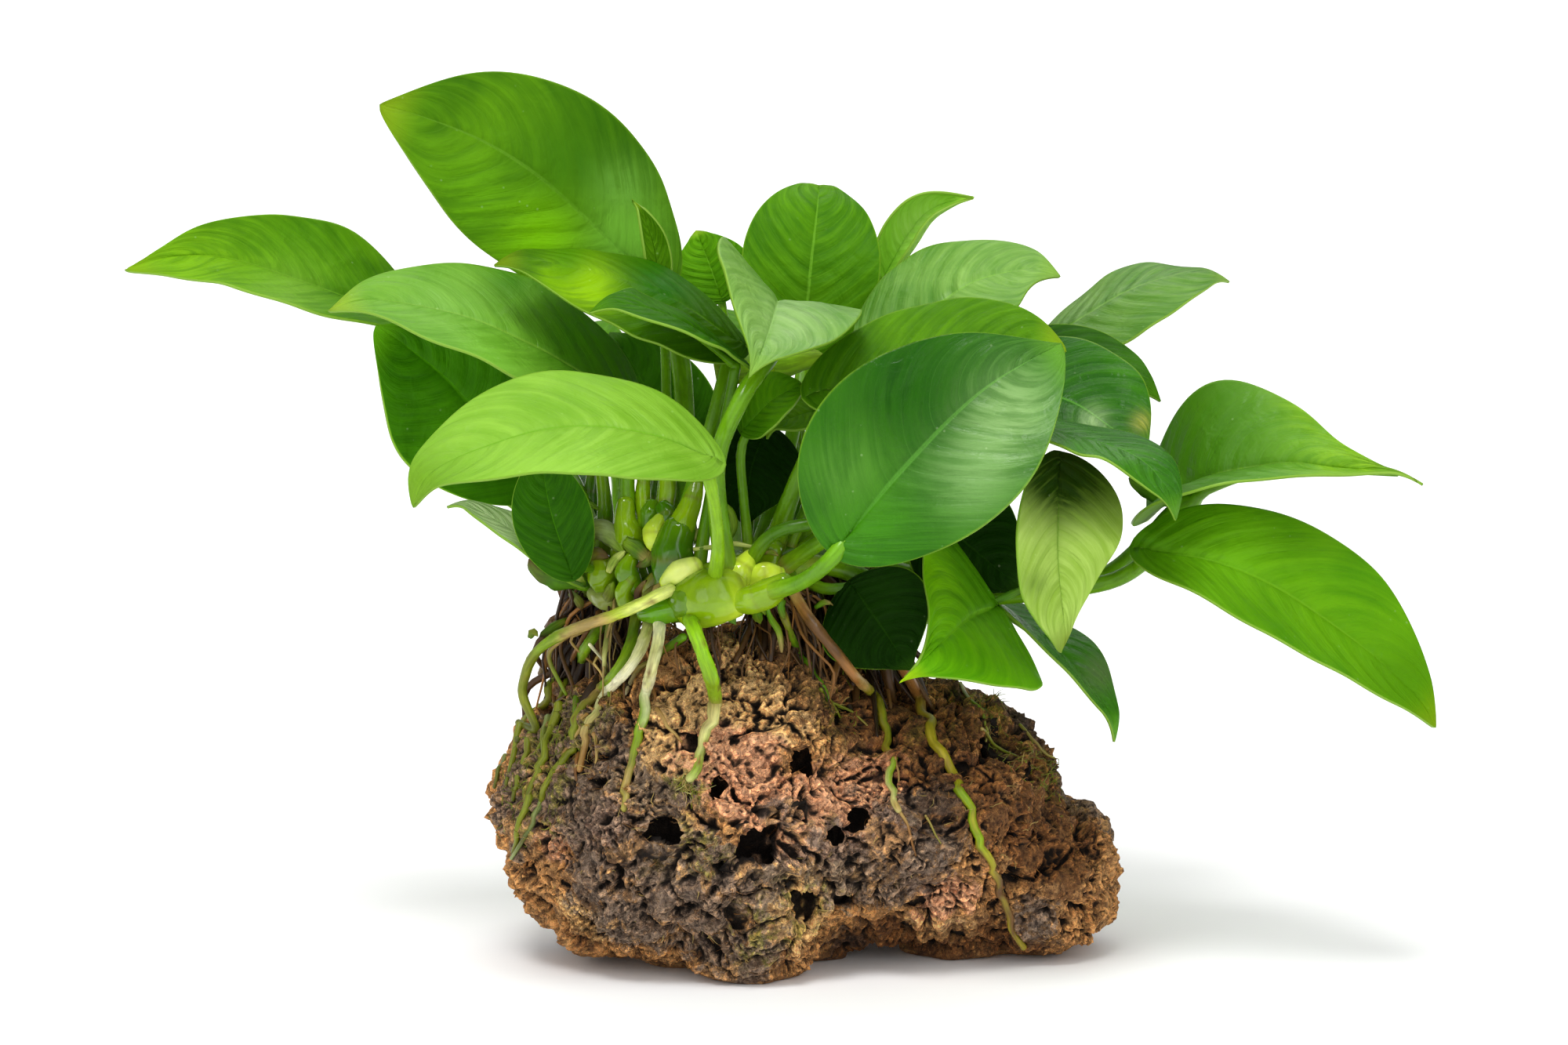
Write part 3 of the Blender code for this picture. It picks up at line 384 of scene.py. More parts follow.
# Bulbs and the feet of the shoots: places with the radius in mm, then the names of the colours from the
# first place to the last
BULBS = (
    (((735, 745, 4, 3.0), (765, 745, 0, 3.6), (800, 757, -7, 3.6), (840, 764, -12, 3.6)),
     "olive leek leek leek"),
    (((840, 764, -12, 3.6), (868, 762, -18, 4.2), (905, 752, -19, 4.4), (945, 740, -17, 4.2)),
     "leek leek lime lime"),
    (((940, 742, -18, 4.0), (980, 730, -13, 3.9), (1012, 718, -8, 3.6), (1040, 706, -2, 3.2)),
     "lime leek leek bottle"),
    (((1012, 718, -8, 3.4), (1040, 710, 4, 3.4), (1062, 708, 14, 3.0)), "leek leek"),
    (((765, 745, 0, 3.4), (775, 738, 10, 3.2), (790, 732, 19, 2.6)), "leek olive"),
    (((915, 750, -14, 4.2), (940, 735, -5, 3.8), (965, 724, 6, 3.6), (985, 718, 15, 3.0)),
     "leek leek olive"),
    (((889, 766, -22.5, 4.3), (908, 763, -24.5, 4.7), (926, 758, -24, 4.2)), "leek lime lime yolk"),
    (((872, 772, -22, 2.9), (884, 764, -24, 3.4), (888, 750, -24, 2.6)), "leek leek lime"),
    (((824, 781, -20, 1.7), (840, 779, -21.5, 2.2), (860, 776, -22.5, 2.0)), "leek grass leek"),
    (((856, 742, -20.5, 1.9), (868, 731, -22.5, 2.1), (886, 722, -22.5, 1.5)), "lime yolk cream yolk"),
    (((862, 735, -18, 3.9), (858, 712, -18.5, 3.5), (860, 694, -18, 3.1), (866, 676, -17.5, 2.6)),
     "bottle bottle leek"),
    (((864, 690, -17.5, 2.3), (872, 665, -17.5, 2.1), (882, 640, -17, 1.6), (888, 618, -16, 1.2)),
     "leek lime lime"),
    (((930, 745, -21.5, 2.8), (946, 727, -21, 2.1), (957, 710, -20, 1.2)), "lime yolk yolk"),
    (((958, 737, -20.5, 1.5), (976, 731, -21, 1.9), (994, 732, -20.5, 1.2)), "lime yolk yolk lime"),
    (((938, 768, -26, 1.7), (956, 765, -27, 2.3), (980, 756, -28, 2.3), (1001, 743, -29, 1.6)),
     "yolk lime lime leek"),
    (((972, 738, -14, 2.8), (976, 716, -15, 2.5), (982, 698, -16, 2.1)), "leek lime leek"),
    (((806, 745, -9, 3.0), (800, 715, -11, 2.7), (803, 690, -12, 2.8), (798, 665, -11.5, 1.9),
     (798, 642, -11, 1.4)), "olive lime lime lime"),
    (((846, 700, -16, 1.2), (836, 692, -17, 1.5), (833, 678, -16.5, 1.7), (842, 664, -15.5, 1.3)),
     "yolk yolk lime"),
    (((826, 668, -13, 1.2), (829, 655, -13, 1.7), (832, 645, -12.5, 1.2)), "bottle leek"),
    (((846, 668, -15, 1.3), (851, 657, -15, 1.7), (846, 648, -14, 1.3)), "bottle bottle"),
    (((758, 745, -2, 2.8), (752, 712, -4, 2.7), (758, 685, -4, 2.1), (764, 668, -3, 1.4)),
     "olive leek leek"),
    (((775, 752, -10, 1.8), (768, 735, -11.5, 2.4), (765, 717, -11, 1.9)), "leek lime olive"),
    (((808, 748, -15, 1.6), (800, 730, -15, 1.9), (806, 712, -14.5, 1.2)), "leek leek lime"),
    (((785, 768, -11, 1.5), (772, 765, -11.5, 1.7), (758, 757, -9, 1.3)), "olive sage"),
    (((800, 772, -15, 1.5), (795, 755, -16, 1.3), (806, 738, -16, 1.0)), "leek lime leek"),
    (((832, 768, -16, 1.9), (830, 752, -17, 1.7), (836, 738, -17, 1.2)), "brown olive brown"),
    (((848, 660, -14, 1.5), (852, 625, -12, 1.4), (850, 590, -10, 1.1)), "leek lime lime"),
    (((824, 668, -12, 1.3), (820, 630, -10, 1.2), (824, 590, -8, 1.0)), "leek lime leek"),
    (((768, 708, -8, 1.4), (772, 655, -6, 1.3), (768, 604, -4, 1.0)), "olive leek lime"),
    (((764, 742, 3, 2.4), (756, 690, 6, 2.0), (756, 640, 8, 1.7), (757, 600, 9, 1.1)),
     "bottle bottle leek"),
    (((838, 742, -2, 2.2), (834, 690, 1, 1.7), (834, 640, 3, 1.5), (838, 596, 4, 1.0)),
     "bottle bottle leek"),
    (((966, 728, 8, 2.4), (970, 690, 10, 1.8), (971, 650, 12, 1.4), (968, 620, 13, 0.9)),
     "bottle bottle leek"),
    (((1012, 715, 10, 2.2), (1020, 650, 12, 1.6), (1021, 600, 13, 1.3), (1020, 550, 14, 0.9)),
     "bottle bottle leek"),
    (((950, 735, -6, 0.9), (962, 620, -2, 0.7), (978, 530, 0, 0.6), (984, 470, 2, 0.5)), "leek lime"),
)

# Scales: how finely each is divided, how thick it is and how far it ripples
SCALE_COLUMNS = 6
SCALE_STEP = 0.6 * MM
SCALE_THICKNESS = 0.3 * MM
SCALE_RIPPLE = 0.25 * MM
# Sheaths, scales, sprouts and torn scraps around the rhizome: places along each, its width in mm, how
# far its edges bend back in degrees, and its colours from its foot to its tip
SCALES = (
    (((740, 690, -10), (760, 676, -12), (780, 684, -13), (795, 704, -15)), 4.2, 50, "olive sage lime"),
    (((752, 740, -11), (750, 718, -12), (762, 707, -13), (776, 711, -13)), 3.6, 70, "leek olive brown"),
    (((776, 730, -14), (783, 716, -15), (797, 703, -15)), 1.8, 60, "cream lime cream"),
    (((744, 668, -8), (741, 652, -9), (750, 642, -9), (764, 650, -9)), 1.5, 60, "lime leek lime"),
    (((744, 660, -9), (754, 668, -9), (766, 662, -9)), 1.3, 60, "leek lime leek"),
    (((796, 690, -15), (812, 700, -16), (832, 719, -17)), 3.0, 40, "lime leek straw"),
    (((830, 702, -16), (826, 716, -17), (812, 722, -16)), 1.8, 50, "straw leek brown"),
    (((748, 738, -11), (718, 736, -12), (692, 728, -13), (675, 713, -13)), 5.0, 40, "leek grass brown"),
    (((912, 476, 2), (980, 464, 2), (1050, 452, 4)), 6.5, 40, "lime bright lime"),
    (((1500, 642, -2), (1474, 628, -3), (1440, 610, -4)), 4.0, 40, "grass grass leek"),
    (((1304, 752, -9), (1286, 760, -10), (1266, 768, -10)), 1.4, 40, "leek grass grass"),
    (((722, 730, -13), (734, 734, -13), (746, 742, -12)), 1.5, 50, "cream cream lime"),
    (((768, 772, -12), (776, 760, -14), (782, 742, -15)), 2.3, 60, "sage olive lime"),
    (((727, 756, -7), (738, 766, -8), (742, 778, -8)), 1.7, 50, "sage olive brown"),
    (((822, 772, -19), (826, 758, -20), (838, 746, -20)), 1.6, 60, "straw olive brown"),
    (((834, 765, -20), (838, 752, -21), (848, 742, -21)), 1.5, 60, "brown straw olive"),
    (((812, 770, -18), (814, 756, -18), (824, 740, -18)), 1.4, 60, "umber brown straw"),
    (((884, 701, -19), (908, 698, -19), (935, 694, -19), (963, 698, -19)), 0.9, 40, "cream cream cream"),
    (((886, 690, -17), (890, 678, -17), (900, 674, -17)), 1.3, 50, "cream cream cream"),
    (((922, 694, -17), (934, 676, -17), (932, 655, -17), (920, 640, -17)), 1.9, 70, "leek lime leek"),
    (((922, 783, -24), (932, 788, -25), (938, 797, -25)), 1.6, 40, "lime grass leek"),
    (((975, 772, -22), (966, 782, -23), (970, 796, -24)), 2.0, 50, "leek grass olive"),
    (((978, 775, -22), (984, 790, -23), (994, 808, -24), (997, 832, -24)), 1.1, 50, "grass lime straw"),
    (((1000, 765, -20), (996, 776, -21), (1001, 790, -21)), 1.3, 50, "leek grass olive"),
    (((980, 768, -21), (972, 775, -23), (976, 784, -23)), 1.0, 50, "grass lime lime"),
    (((1040, 775, -14), (1052, 768, -15), (1062, 772, -15)), 1.0, 40, "grass lime straw"),
    (((676, 814, -12), (680, 806, -13), (686, 812, -13)), 1.3, 40, "leek olive olive"),
    (((724, 790, -5), (706, 800, -6), (688, 812, -7)), 1.5, 50, "olive leek swamp"),
    (((975, 706, -19), (983, 704, -19), (992, 708, -18)), 0.8, 60, "straw lime straw"),
)

# Colours of the rhizome, the roots and what grows on them
COLOURS = {
    "green": (0.16, 0.42, 0.004),
    "bright": (0.28, 0.58, 0.006),
    "grass": (0.11, 0.33, 0.003),
    "leek": (0.10, 0.23, 0.002),
    "bottle": (0.05, 0.16, 0.002),
    "lime": (0.20, 0.35, 0.003),
    "yolk": (0.58, 0.76, 0.045),
    "olive": (0.20, 0.24, 0.012),
    "amber": (0.34, 0.28, 0.012),
    "moss": (0.20, 0.23, 0.008),
    "swamp": (0.075, 0.09, 0.008),
    "sage": (0.30, 0.38, 0.13),
    "cream": (0.80, 0.88, 0.24),
    "white": (0.96, 0.94, 0.62),
    "pale": (0.60, 0.60, 0.22),
    "straw": (0.46, 0.33, 0.10),
    "rust": (0.30, 0.13, 0.03),
    "brown": (0.13, 0.060, 0.016),
    "umber": (0.040, 0.020, 0.008),
}

# Roots: between two pixels more than ROOT_STEP apart others are put in, and the part on the stone is
# then smoothed ROOT_SMOOTHING times
ROOT_STEP = 16
ROOT_SMOOTHING = 3
ROOT_PITCH = 1 * MM
ROOT_SIDES, THIN_ROOT_SIDES = 12, 8
# How high a root's middle lies above the stone, as a share of its radius, and where the noise of the
# thin roots starts
ROOT_REST = 0.55
THIN_ROOT_SEED = 31
# The noise level above which a root has brown spots
SPOT_LEVEL = 0.28
# The roots of the model: the places that hang free, the pixels of those that lie on the stone, the
# radius in mm, then the names of the colours from the rhizome to the tip
Root = namedtuple("Root", "name air stone radius colours")
ROOTS = (
    Root("root_far_left", ((856, 752, -24), (838, 760, -25), (812, 773, -24), (780, 786, -22),
         (742, 799, -18), (706, 815, -14), (681, 836, -11), (670, 862, -9), (667, 888, -8)), ((665, 905),
         (662, 925)), 1.0, "yolk cream yolk straw straw lime olive olive moss swamp moss"),
    Root("root_green", ((878, 783, -23), (884, 800, -29), (896, 832, -32), (907, 864, -32)), ((912, 895),
         (912, 918), (903, 940), (891, 965), (883, 992)), 1.15,
         "leek bright bright bright lime straw pale lime pale"),
    Root("root_white", ((841, 788, -20), (840, 815, -26), (832, 850, -29)), ((825, 880), (820, 915),
         (813, 940), (807, 970), (802, 1000), (799, 1034)), 0.9,
         "white white pale white lime olive straw olive"),
    Root("root_pale", ((829, 790, -18), (817, 828, -23), (800, 855, -25)), ((775, 885), (760, 912),
         (750, 935), (745, 955), (738, 980)), 0.85, "lime pale white white pale straw rust"),
    Root("root_left", ((812, 785, -14), (803, 825, -18), (785, 858, -20)), ((768, 878), (750, 895),
         (735, 915), (733, 935), (726, 960), (712, 985), (700, 1008), (690, 1020)), 0.85,
         "olive leek lime lime straw olive olive moss moss"),
    Root("root_left_low", ((772, 790, -10), (748, 825, -13)), ((736, 850), (718, 865), (700, 886),
         (680, 905), (666, 922), (662, 945)), 0.85, "leek green leek olive moss moss swamp"),
    Root("root_right", ((1008, 748, -17), (1026, 780, -23), (1047, 808, -26), (1069, 835, -27),
         (1090, 862, -27)), ((1110, 885), (1122, 898), (1129, 920), (1131, 945), (1131, 970),
         (1136, 1000), (1148, 1036)), 0.85,
         "straw rust brown brown rust straw amber olive amber lime pale straw"),
    Root("root_long_right", ((1036, 722, -5), (1092, 778, -8), (1140, 835, -13)), ((1168, 885),
         (1180, 925), (1192, 948), (1208, 972), (1222, 1000), (1237, 1032), (1247, 1058), (1254, 1080),
         (1266, 1110), (1280, 1148), (1294, 1180), (1308, 1208)), 0.85,
         "brown brown brown brown rust rust amber amber amber lime amber brown brown amber amber"),
    Root("root_short", ((988, 752, -14), (1002, 792, -20)), ((1016, 830), (1032, 852), (1046, 872),
         (1056, 896), (1066, 912)), 0.55, "rust olive green leek moss"),
    Root("root_back_left", ((745, 745, 5), (718, 790, 14), (690, 860, 20)), (), 1.0, "lime olive brown"),
    Root("root_back_right", ((1045, 712, 6), (1085, 770, 16), (1135, 830, 20)), (), 1.0,
         "lime olive brown"),
)
# Thin roots that the model leaves out, in the same way but without a name
THIN_ROOTS = (
    (((768, 795, -11), (748, 826, -15)), ((739, 855), (737, 882), (733, 905), (733, 920)), 0.72,
     "leek lime lime leek lime"),
    (((776, 795, -12), (771, 838, -18)), ((773, 865), (778, 888)), 0.4, "olive pale lime"),
    (((752, 822, -17),), ((762, 838), (768, 852), (772, 880)), 0.25, "white white pale"),
    (((872, 812, -21),), ((848, 832), (826, 846), (808, 862), (796, 886)), 0.62,
     "green leek olive straw white"),
    (((742, 800, -14), (716, 816, -13), (700, 838, -10)), ((688, 858),), 0.5, "rust straw olive lime"),
    ((), ((716, 898), (706, 922), (698, 952), (690, 980), (680, 1002), (672, 1022)), 0.7,
     "moss moss olive moss swamp"),
    ((), ((700, 915), (690, 935), (694, 958), (688, 985)), 0.5, "sage olive moss"),
    ((), ((682, 922), (678, 946), (668, 975), (660, 1000), (654, 1018)), 0.6, "moss olive moss swamp"),
    ((), ((665, 925), (660, 955), (650, 985), (646, 1000)), 0.55, "olive moss swamp"),
    ((), ((645, 965), (638, 985), (632, 1005)), 0.45, "moss swamp"),
    ((), ((676, 1015), (668, 1035), (664, 1062), (655, 1085)), 0.6, "moss olive moss swamp"),
    ((), ((692, 1018), (682, 1042), (668, 1072), (654, 1096)), 0.5, "sage swamp sage"),
    ((), ((722, 870), (712, 900), (700, 925)), 0.45, "olive moss"),
    (((752, 800, -10), (735, 830, -8)), ((722, 858), (706, 880), (690, 895)), 0.4, "brown rust brown"),
    (((735, 790, -6), (715, 825, -4)), ((705, 850), (698, 880), (690, 900)), 0.35, "brown umber"),
    (((745, 805, -12), (728, 818, -12)), ((745, 832), (742, 850)), 0.25, "straw rust brown"),
    ((), ((748, 912), (742, 930), (728, 948), (716, 962)), 0.35, "rust straw rust"),
    ((), ((757, 935), (764, 952), (758, 968), (766, 985)), 0.3, "rust straw rust"),
    ((), ((738, 962), (730, 980), (736, 995)), 0.3, "rust brown"),
    ((), ((838, 905), (850, 925), (868, 946)), 0.35, "rust straw rust"),
    ((), ((1172, 872), (1176, 900), (1184, 925), (1192, 942), (1202, 958)), 0.28,
     "white straw rust pale"),
    ((), ((1056, 894), (1078, 902), (1098, 914), (1106, 926)), 0.25, "moss olive straw"),
    ((), ((1046, 880), (1062, 895), (1072, 915)), 0.3, "olive moss"),
    ((), ((1148, 1036), (1158, 1052), (1162, 1072), (1167, 1092)), 0.25, "straw rust brown"),
    ((), ((1224, 872), (1236, 895), (1250, 905), (1262, 925), (1258, 945)), 0.3, "pale moss lime straw"),
    ((), ((1252, 930), (1262, 950), (1286, 960), (1308, 972)), 0.3, "straw moss moss"),
    ((), ((1300, 925), (1318, 942), (1326, 960), (1345, 968)), 0.3, "moss straw moss"),
    ((), ((1142, 965), (1148, 985), (1146, 1005)), 0.22, "rust straw"),
    ((), ((1180, 1040), (1192, 1050), (1188, 1066), (1200, 1076)), 0.2, "straw moss"),
)

# Moss and hair on the stone: half a hair's thickness, how low one may stand and how it is made
HAIR_RADIUS = 0.07 * MM
LOWEST_HAIR = 2 * MM
HAIR_JOINTS = 4
HAIR_SIDES = 4
HAIR_SEED = 7
# Its patches: the pixel of the middle, the radius in mm, how many hairs grow there, their length in mm
# and the names of their colours
TUFTS = (
    ((882, 1006), 1.6, 90, 1.6, "pale straw lime moss"),
    ((872, 994), 1.0, 30, 1.2, "pale straw moss"),
    ((700, 960), 7.0, 160, 1.6, "moss olive moss"),
    ((670, 1030), 6.0, 120, 1.6, "moss olive straw"),
    ((735, 900), 4.0, 70, 1.4, "moss straw rust"),
    ((765, 965), 4.0, 60, 2.2, "rust straw rust"),
    ((1070, 905), 4.0, 70, 1.6, "moss moss straw"),
    ((1250, 900), 5.0, 90, 1.8, "moss moss olive"),
    ((1290, 965), 4.5, 90, 1.8, "moss moss straw"),
    ((1340, 985), 4.5, 110, 1.6, "moss olive moss"),
    ((1160, 880), 4.0, 50, 1.8, "rust straw brown"),
    ((1200, 1030), 8.0, 55, 1.8, "straw rust brown"),
    ((1300, 1080), 10.0, 60, 1.6, "straw rust brown"),
    ((900, 1080), 8.0, 55, 1.6, "straw rust brown"),
    ((1020, 1150), 8.0, 55, 1.6, "straw rust brown"),
    ((950, 1210), 8.0, 45, 1.6, "straw rust brown"),
    ((800, 1040), 6.0, 45, 1.8, "straw rust brown"),
    ((760, 1140), 9.0, 45, 1.6, "straw rust brown"),
    ((1060, 960), 8.0, 45, 1.4, "straw rust brown"),
)

# Dead roots: where along each its bends are, how much of its thickness is left from head to foot, how
# far a bend strays, and how far it hangs out at most, in mm
TANGLE_JOINTS = (0.25, 0.5, 0.75)
TANGLE_TAPER = (1, 1, 0.9, 0.8, 0.5)
TANGLE_SWAY, TANGLE_SAG = 0.9 * MM, 2.5
TANGLE_STEP = 1.5 * MM
TANGLE_SIDES = 5
TANGLE_SEED = 11
# Their bunches: where each leaves the rhizome, the pixel where it meets the stone, how far its roots
# spread and how thick they are in mm, how many there are and the names of their colours. Many
# bunches, above all the thick dark ones, also fill shaded gaps behind the rhizome as painted shade
TANGLES = (
    ((742, 758, -6), (722, 862), 3.0, 0.25, 26, "umber brown umber rust"),
    ((790, 772, -12), (772, 880), 3.0, 0.25, 18, "umber brown straw"),
    ((838, 776, -14), (830, 858), 3.0, 0.25, 12, "umber brown rust"),
    ((905, 772, -18), (912, 856), 3.0, 0.25, 10, "umber brown"),
    ((1000, 745, -13), (1036, 852), 3.5, 0.25, 24, "umber brown umber rust"),
    ((1048, 728, -4), (1110, 872), 4.5, 0.25, 26, "umber brown umber olive"),
    ((960, 752, -12), (985, 835), 3.0, 0.25, 14, "umber brown"),
    ((1010, 728, -2), (1035, 840), 3.5, 0.8, 26, "umber umber brown"),
    ((1060, 722, 8), (1110, 850), 4.5, 0.9, 34, "umber umber brown"),
    ((1090, 740, -4), (1150, 880), 3.5, 0.8, 16, "umber umber brown"),
    ((960, 740, 0), (975, 830), 3.0, 0.8, 14, "umber umber brown"),
    ((748, 764, 0), (716, 862), 3.2, 0.8, 22, "umber umber brown"),
    ((790, 770, -4), (765, 868), 3.0, 0.8, 14, "umber umber brown"),
)

# Stone: how fine its skin is and how many times that skin is evened before it gets its relief
STONE_VOXEL = 0.48 * MM
STONE_EVENING = 8
# How its forms are bent: how many bends to a millimetre, and how far they go in mm
STONE_WARPS = ((0.1, 5.0), (0.3, 1.1), (0.9, 0.5))
# Knobs: how many to a millimetre, how high they stand and how deep the clefts between them are, in mm
KNOBS = ((0.15, 3.1, 1.5), (0.33, 1.15, 0.75))
# Torn ridges: how many to a millimetre and their height in mm
RIDGES = ((0.2, 0.9), (0.5, 0.26), (1.1, 0.34), (1.9, 0.2))
# How wide a cleft is, as a share of its knob, and the level that the relief starts from, in mm
CLEFT_WIDTH = 0.16
RELIEF_LEVEL = -0.55
# Gas pits: how many to a millimetre, the share of places that have one, and the depth in mm
STONE_PITS = ((0.13, 0.4, 2.2), (0.26, 0.4, 1.4), (0.5, 0.45, 0.9), (0.95, 0.45, 0.45))
# Between which heights the relief fades in above the flat patches that the stone rests on, and how near
# the ground the relief may bring the skin
RELIEF_START, RELIEF_FULL = 0.3 * MM, 2 * MM
LOWEST_SKIN = 0.02 * MM
# How many times the skin is smoothed to tell its hollows and its crests from their surroundings, and
# how many mm of difference fill the whole range
HOLLOW_TURNS, CREST_TURNS = 26, 2
HOLLOW_RANGE, CREST_RANGE = 4, 0.8
# Large caves in the stone's front: the pixel where each opens, its radius and its extra depth in mm
CAVES = (
    (972, 1082, 4.4, 4.0), (1030, 975, 2.6, 3.0), (848, 1064, 3.0, 3.0), (1028, 1148, 2.8, 3.0),
    (912, 1012, 2.2, 3.0), (1062, 1070, 2.4, 3.0), (1275, 942, 4.2, 4.0), (905, 1050, 2.0, 2.5),
    (1150, 1195, 3.5, 2.5), (1000, 1010, 1.5, 2.0), (790, 1000, 1.5, 2.0), (1090, 1130, 1.8, 2.0),
    (950, 1050, 1.8, 2.5), (870, 1190, 1.8, 2.0), (1240, 1120, 1.4, 1.6), (1350, 1090, 1.6, 2.0),
)
# Patches on the stone's front by what is there, but the dark ones are painted shade where leaves
# shade the stone and under its foot: the pixel of each one's middle and its radius in mm
STONE_PATCHES = {
    "crust": (
        (700, 985, 9), (650, 1010, 7), (765, 940, 7), (850, 1055, 7), (830, 1150, 12), (905, 1140, 11),
        (950, 1225, 8), (770, 1090, 6), (1150, 1095, 10), (1090, 1110, 7), (1180, 1045, 6),
        (1320, 1180, 5), (1080, 1205, 5), (1320, 930, 7), (655, 1065, 5), (640, 1040, 4), (735, 1010, 6),
        (705, 905, 7), (760, 1150, 6), (1000, 1040, 4),
    ),
    "red": (
        (925, 975, 8), (960, 1000, 7), (1075, 1045, 8), (1110, 1010, 6), (700, 1060, 6), (780, 1045, 5),
        (1010, 1050, 5), (1210, 1150, 6),
    ),
    "tan": (
        (1000, 880, 11), (960, 840, 9), (880, 920, 8), (1040, 1110, 8), (1010, 1175, 7), (790, 1020, 7),
        (740, 1170, 6), (1200, 1190, 6), (880, 1095, 5),
    ),
    "algae": (
        (700, 940, 10), (760, 900, 6), (690, 1030, 7), (900, 1090, 5), (960, 1195, 7), (1025, 1150, 5),
        (1280, 950, 7), (1345, 985, 7), (1060, 910, 6), (1180, 940, 5), (885, 1000, 4), (1240, 890, 6),
    ),
    "dark": (
        (1190, 985, 8), (1240, 930, 7), (1150, 900, 7), (1335, 1040, 10), (1290, 1020, 8),
        (1385, 1010, 7), (1320, 930, 8), (1345, 1090, 6), (1120, 870, 8), (1040, 860, 7), (1045, 885, 8),
        (1105, 895, 6), (1200, 1203, 8), (1130, 1198, 6), (1080, 1215, 5), (1300, 1210, 5),
        (1290, 990, 8), (740, 1195, 4),
    ),
}
# Between which depths the stone's front turns into its back, where other patches are spread by noise:
# how many to a metre, how strong they are, where each kind's noise starts and how much more crust
# there is
BACK_START, BACK_FULL = -4 * MM, 8 * MM
PATCH_SCALE, PATCH_STRENGTH = 55, 1.1
PATCH_STARTS = {"crust": 3, "red": 17, "tan": 29, "algae": 41, "dark": 53}
MORE_CRUST = 0.35
# How many radii away a patch and a cave still count, and from where to where a cave's wall rises
PATCH_REACH, CAVE_REACH = 2.2, 1.3
CAVE_FLOOR, CAVE_MOUTH = 0.45, 1.25

# How close two places of a mesh are that become one, on a blade, a tube and the stone
BLADE_JOIN, TUBE_JOIN, STONE_JOIN = 0.02 * MM, 0.004 * MM, 0.001 * MM
# The way that the seam of a tube starts out, which no tube runs along
TUBE_UP = (0.31, 0.17, 0.93)

# The materials by name, filled by make_finishes
FINISHES = {}


def seen_at(across, down, back):
    """The point that the front view shows at a pixel, at a depth behind the stone's middle."""
    right = (across - VIEW_MIDDLE[0]) * PIXEL
    up = (VIEW_MIDDLE[1] - down) * PIXEL
    ray = AWAY * EYE_DISTANCE + TO_RIGHT * right + TO_TOP * up
    return EYE + ray * ((back * MM - EYE.y) / ray.y)


def smooth_route(points, values, step):
    """Points and values about `step` apart on a Catmull-Rom curve through the given ones."""
    ends = [points[0] * 2 - points[1], *points, points[-1] * 2 - points[-2]]
    route = []
    for i in range(len(points) - 1):
        before, start, end, after = ends[i:i + 4]
        pieces = max(1, round((end - start).length / step))
        for k in range(pieces):
            t = k / pieces
            point = (start * 2 + (end - before) * t
                     + (before * 2 - start * 5 + end * 4 - after) * t ** 2
                     + (start * 3 - before - end * 3 + after) * t ** 3) / 2
            route.append((point, values[i] + (values[i + 1] - values[i]) * t))
    route.append((points[-1], values[-1]))
    return route


def run_lengths(places):
    """How far along the row of places each one is."""
    lengths = [0.0]
    for before, after in zip(places, places[1:]):
        lengths.append(lengths[-1] + (after - before).length)
    return lengths


def smooth_line(points, step):
    """Places about `step` apart on the smooth curve through the points."""
    return [place for place, _ in smooth_route(points, [0] * len(points), step)]


def along_line(line, share):
    """The place at a share of the way along a line, which is its places and their run lengths."""
    places, lengths = line
    wanted = share * lengths[-1]
    for i in range(1, len(places)):
        if lengths[i] >= wanted:
            part = (wanted - lengths[i - 1]) / (lengths[i] - lengths[i - 1])
            return places[i - 1].lerp(places[i], part)
    return places[-1]


def between(places, step):
    """The pixel places, with others put in where two are more than `step` pixels apart."""
    filled = list(places[:1])
    for start, end in zip(places, places[1:]):
        pieces = math.ceil(math.dist(start, end) / step)
        for k in range(1, pieces + 1):
            filled.append(tuple(a + (b - a) * k / pieces for a, b in zip(start, end)))
    return filled


def eased(value, low, high):
    """0 below `low`, 1 above `high` and a smooth step between them."""
    share = min(1, max(0, (value - low) / (high - low)))
    return share * share * (3 - 2 * share)


def blend_colours(colours, share):
    """The colour at a share of the way along a row of colours."""
    at = min(1, max(0, share)) * (len(colours) - 1)
    first = min(int(at), len(colours) - 2)
    return Vector(colours[first]).lerp(Vector(colours[first + 1]), at - first)


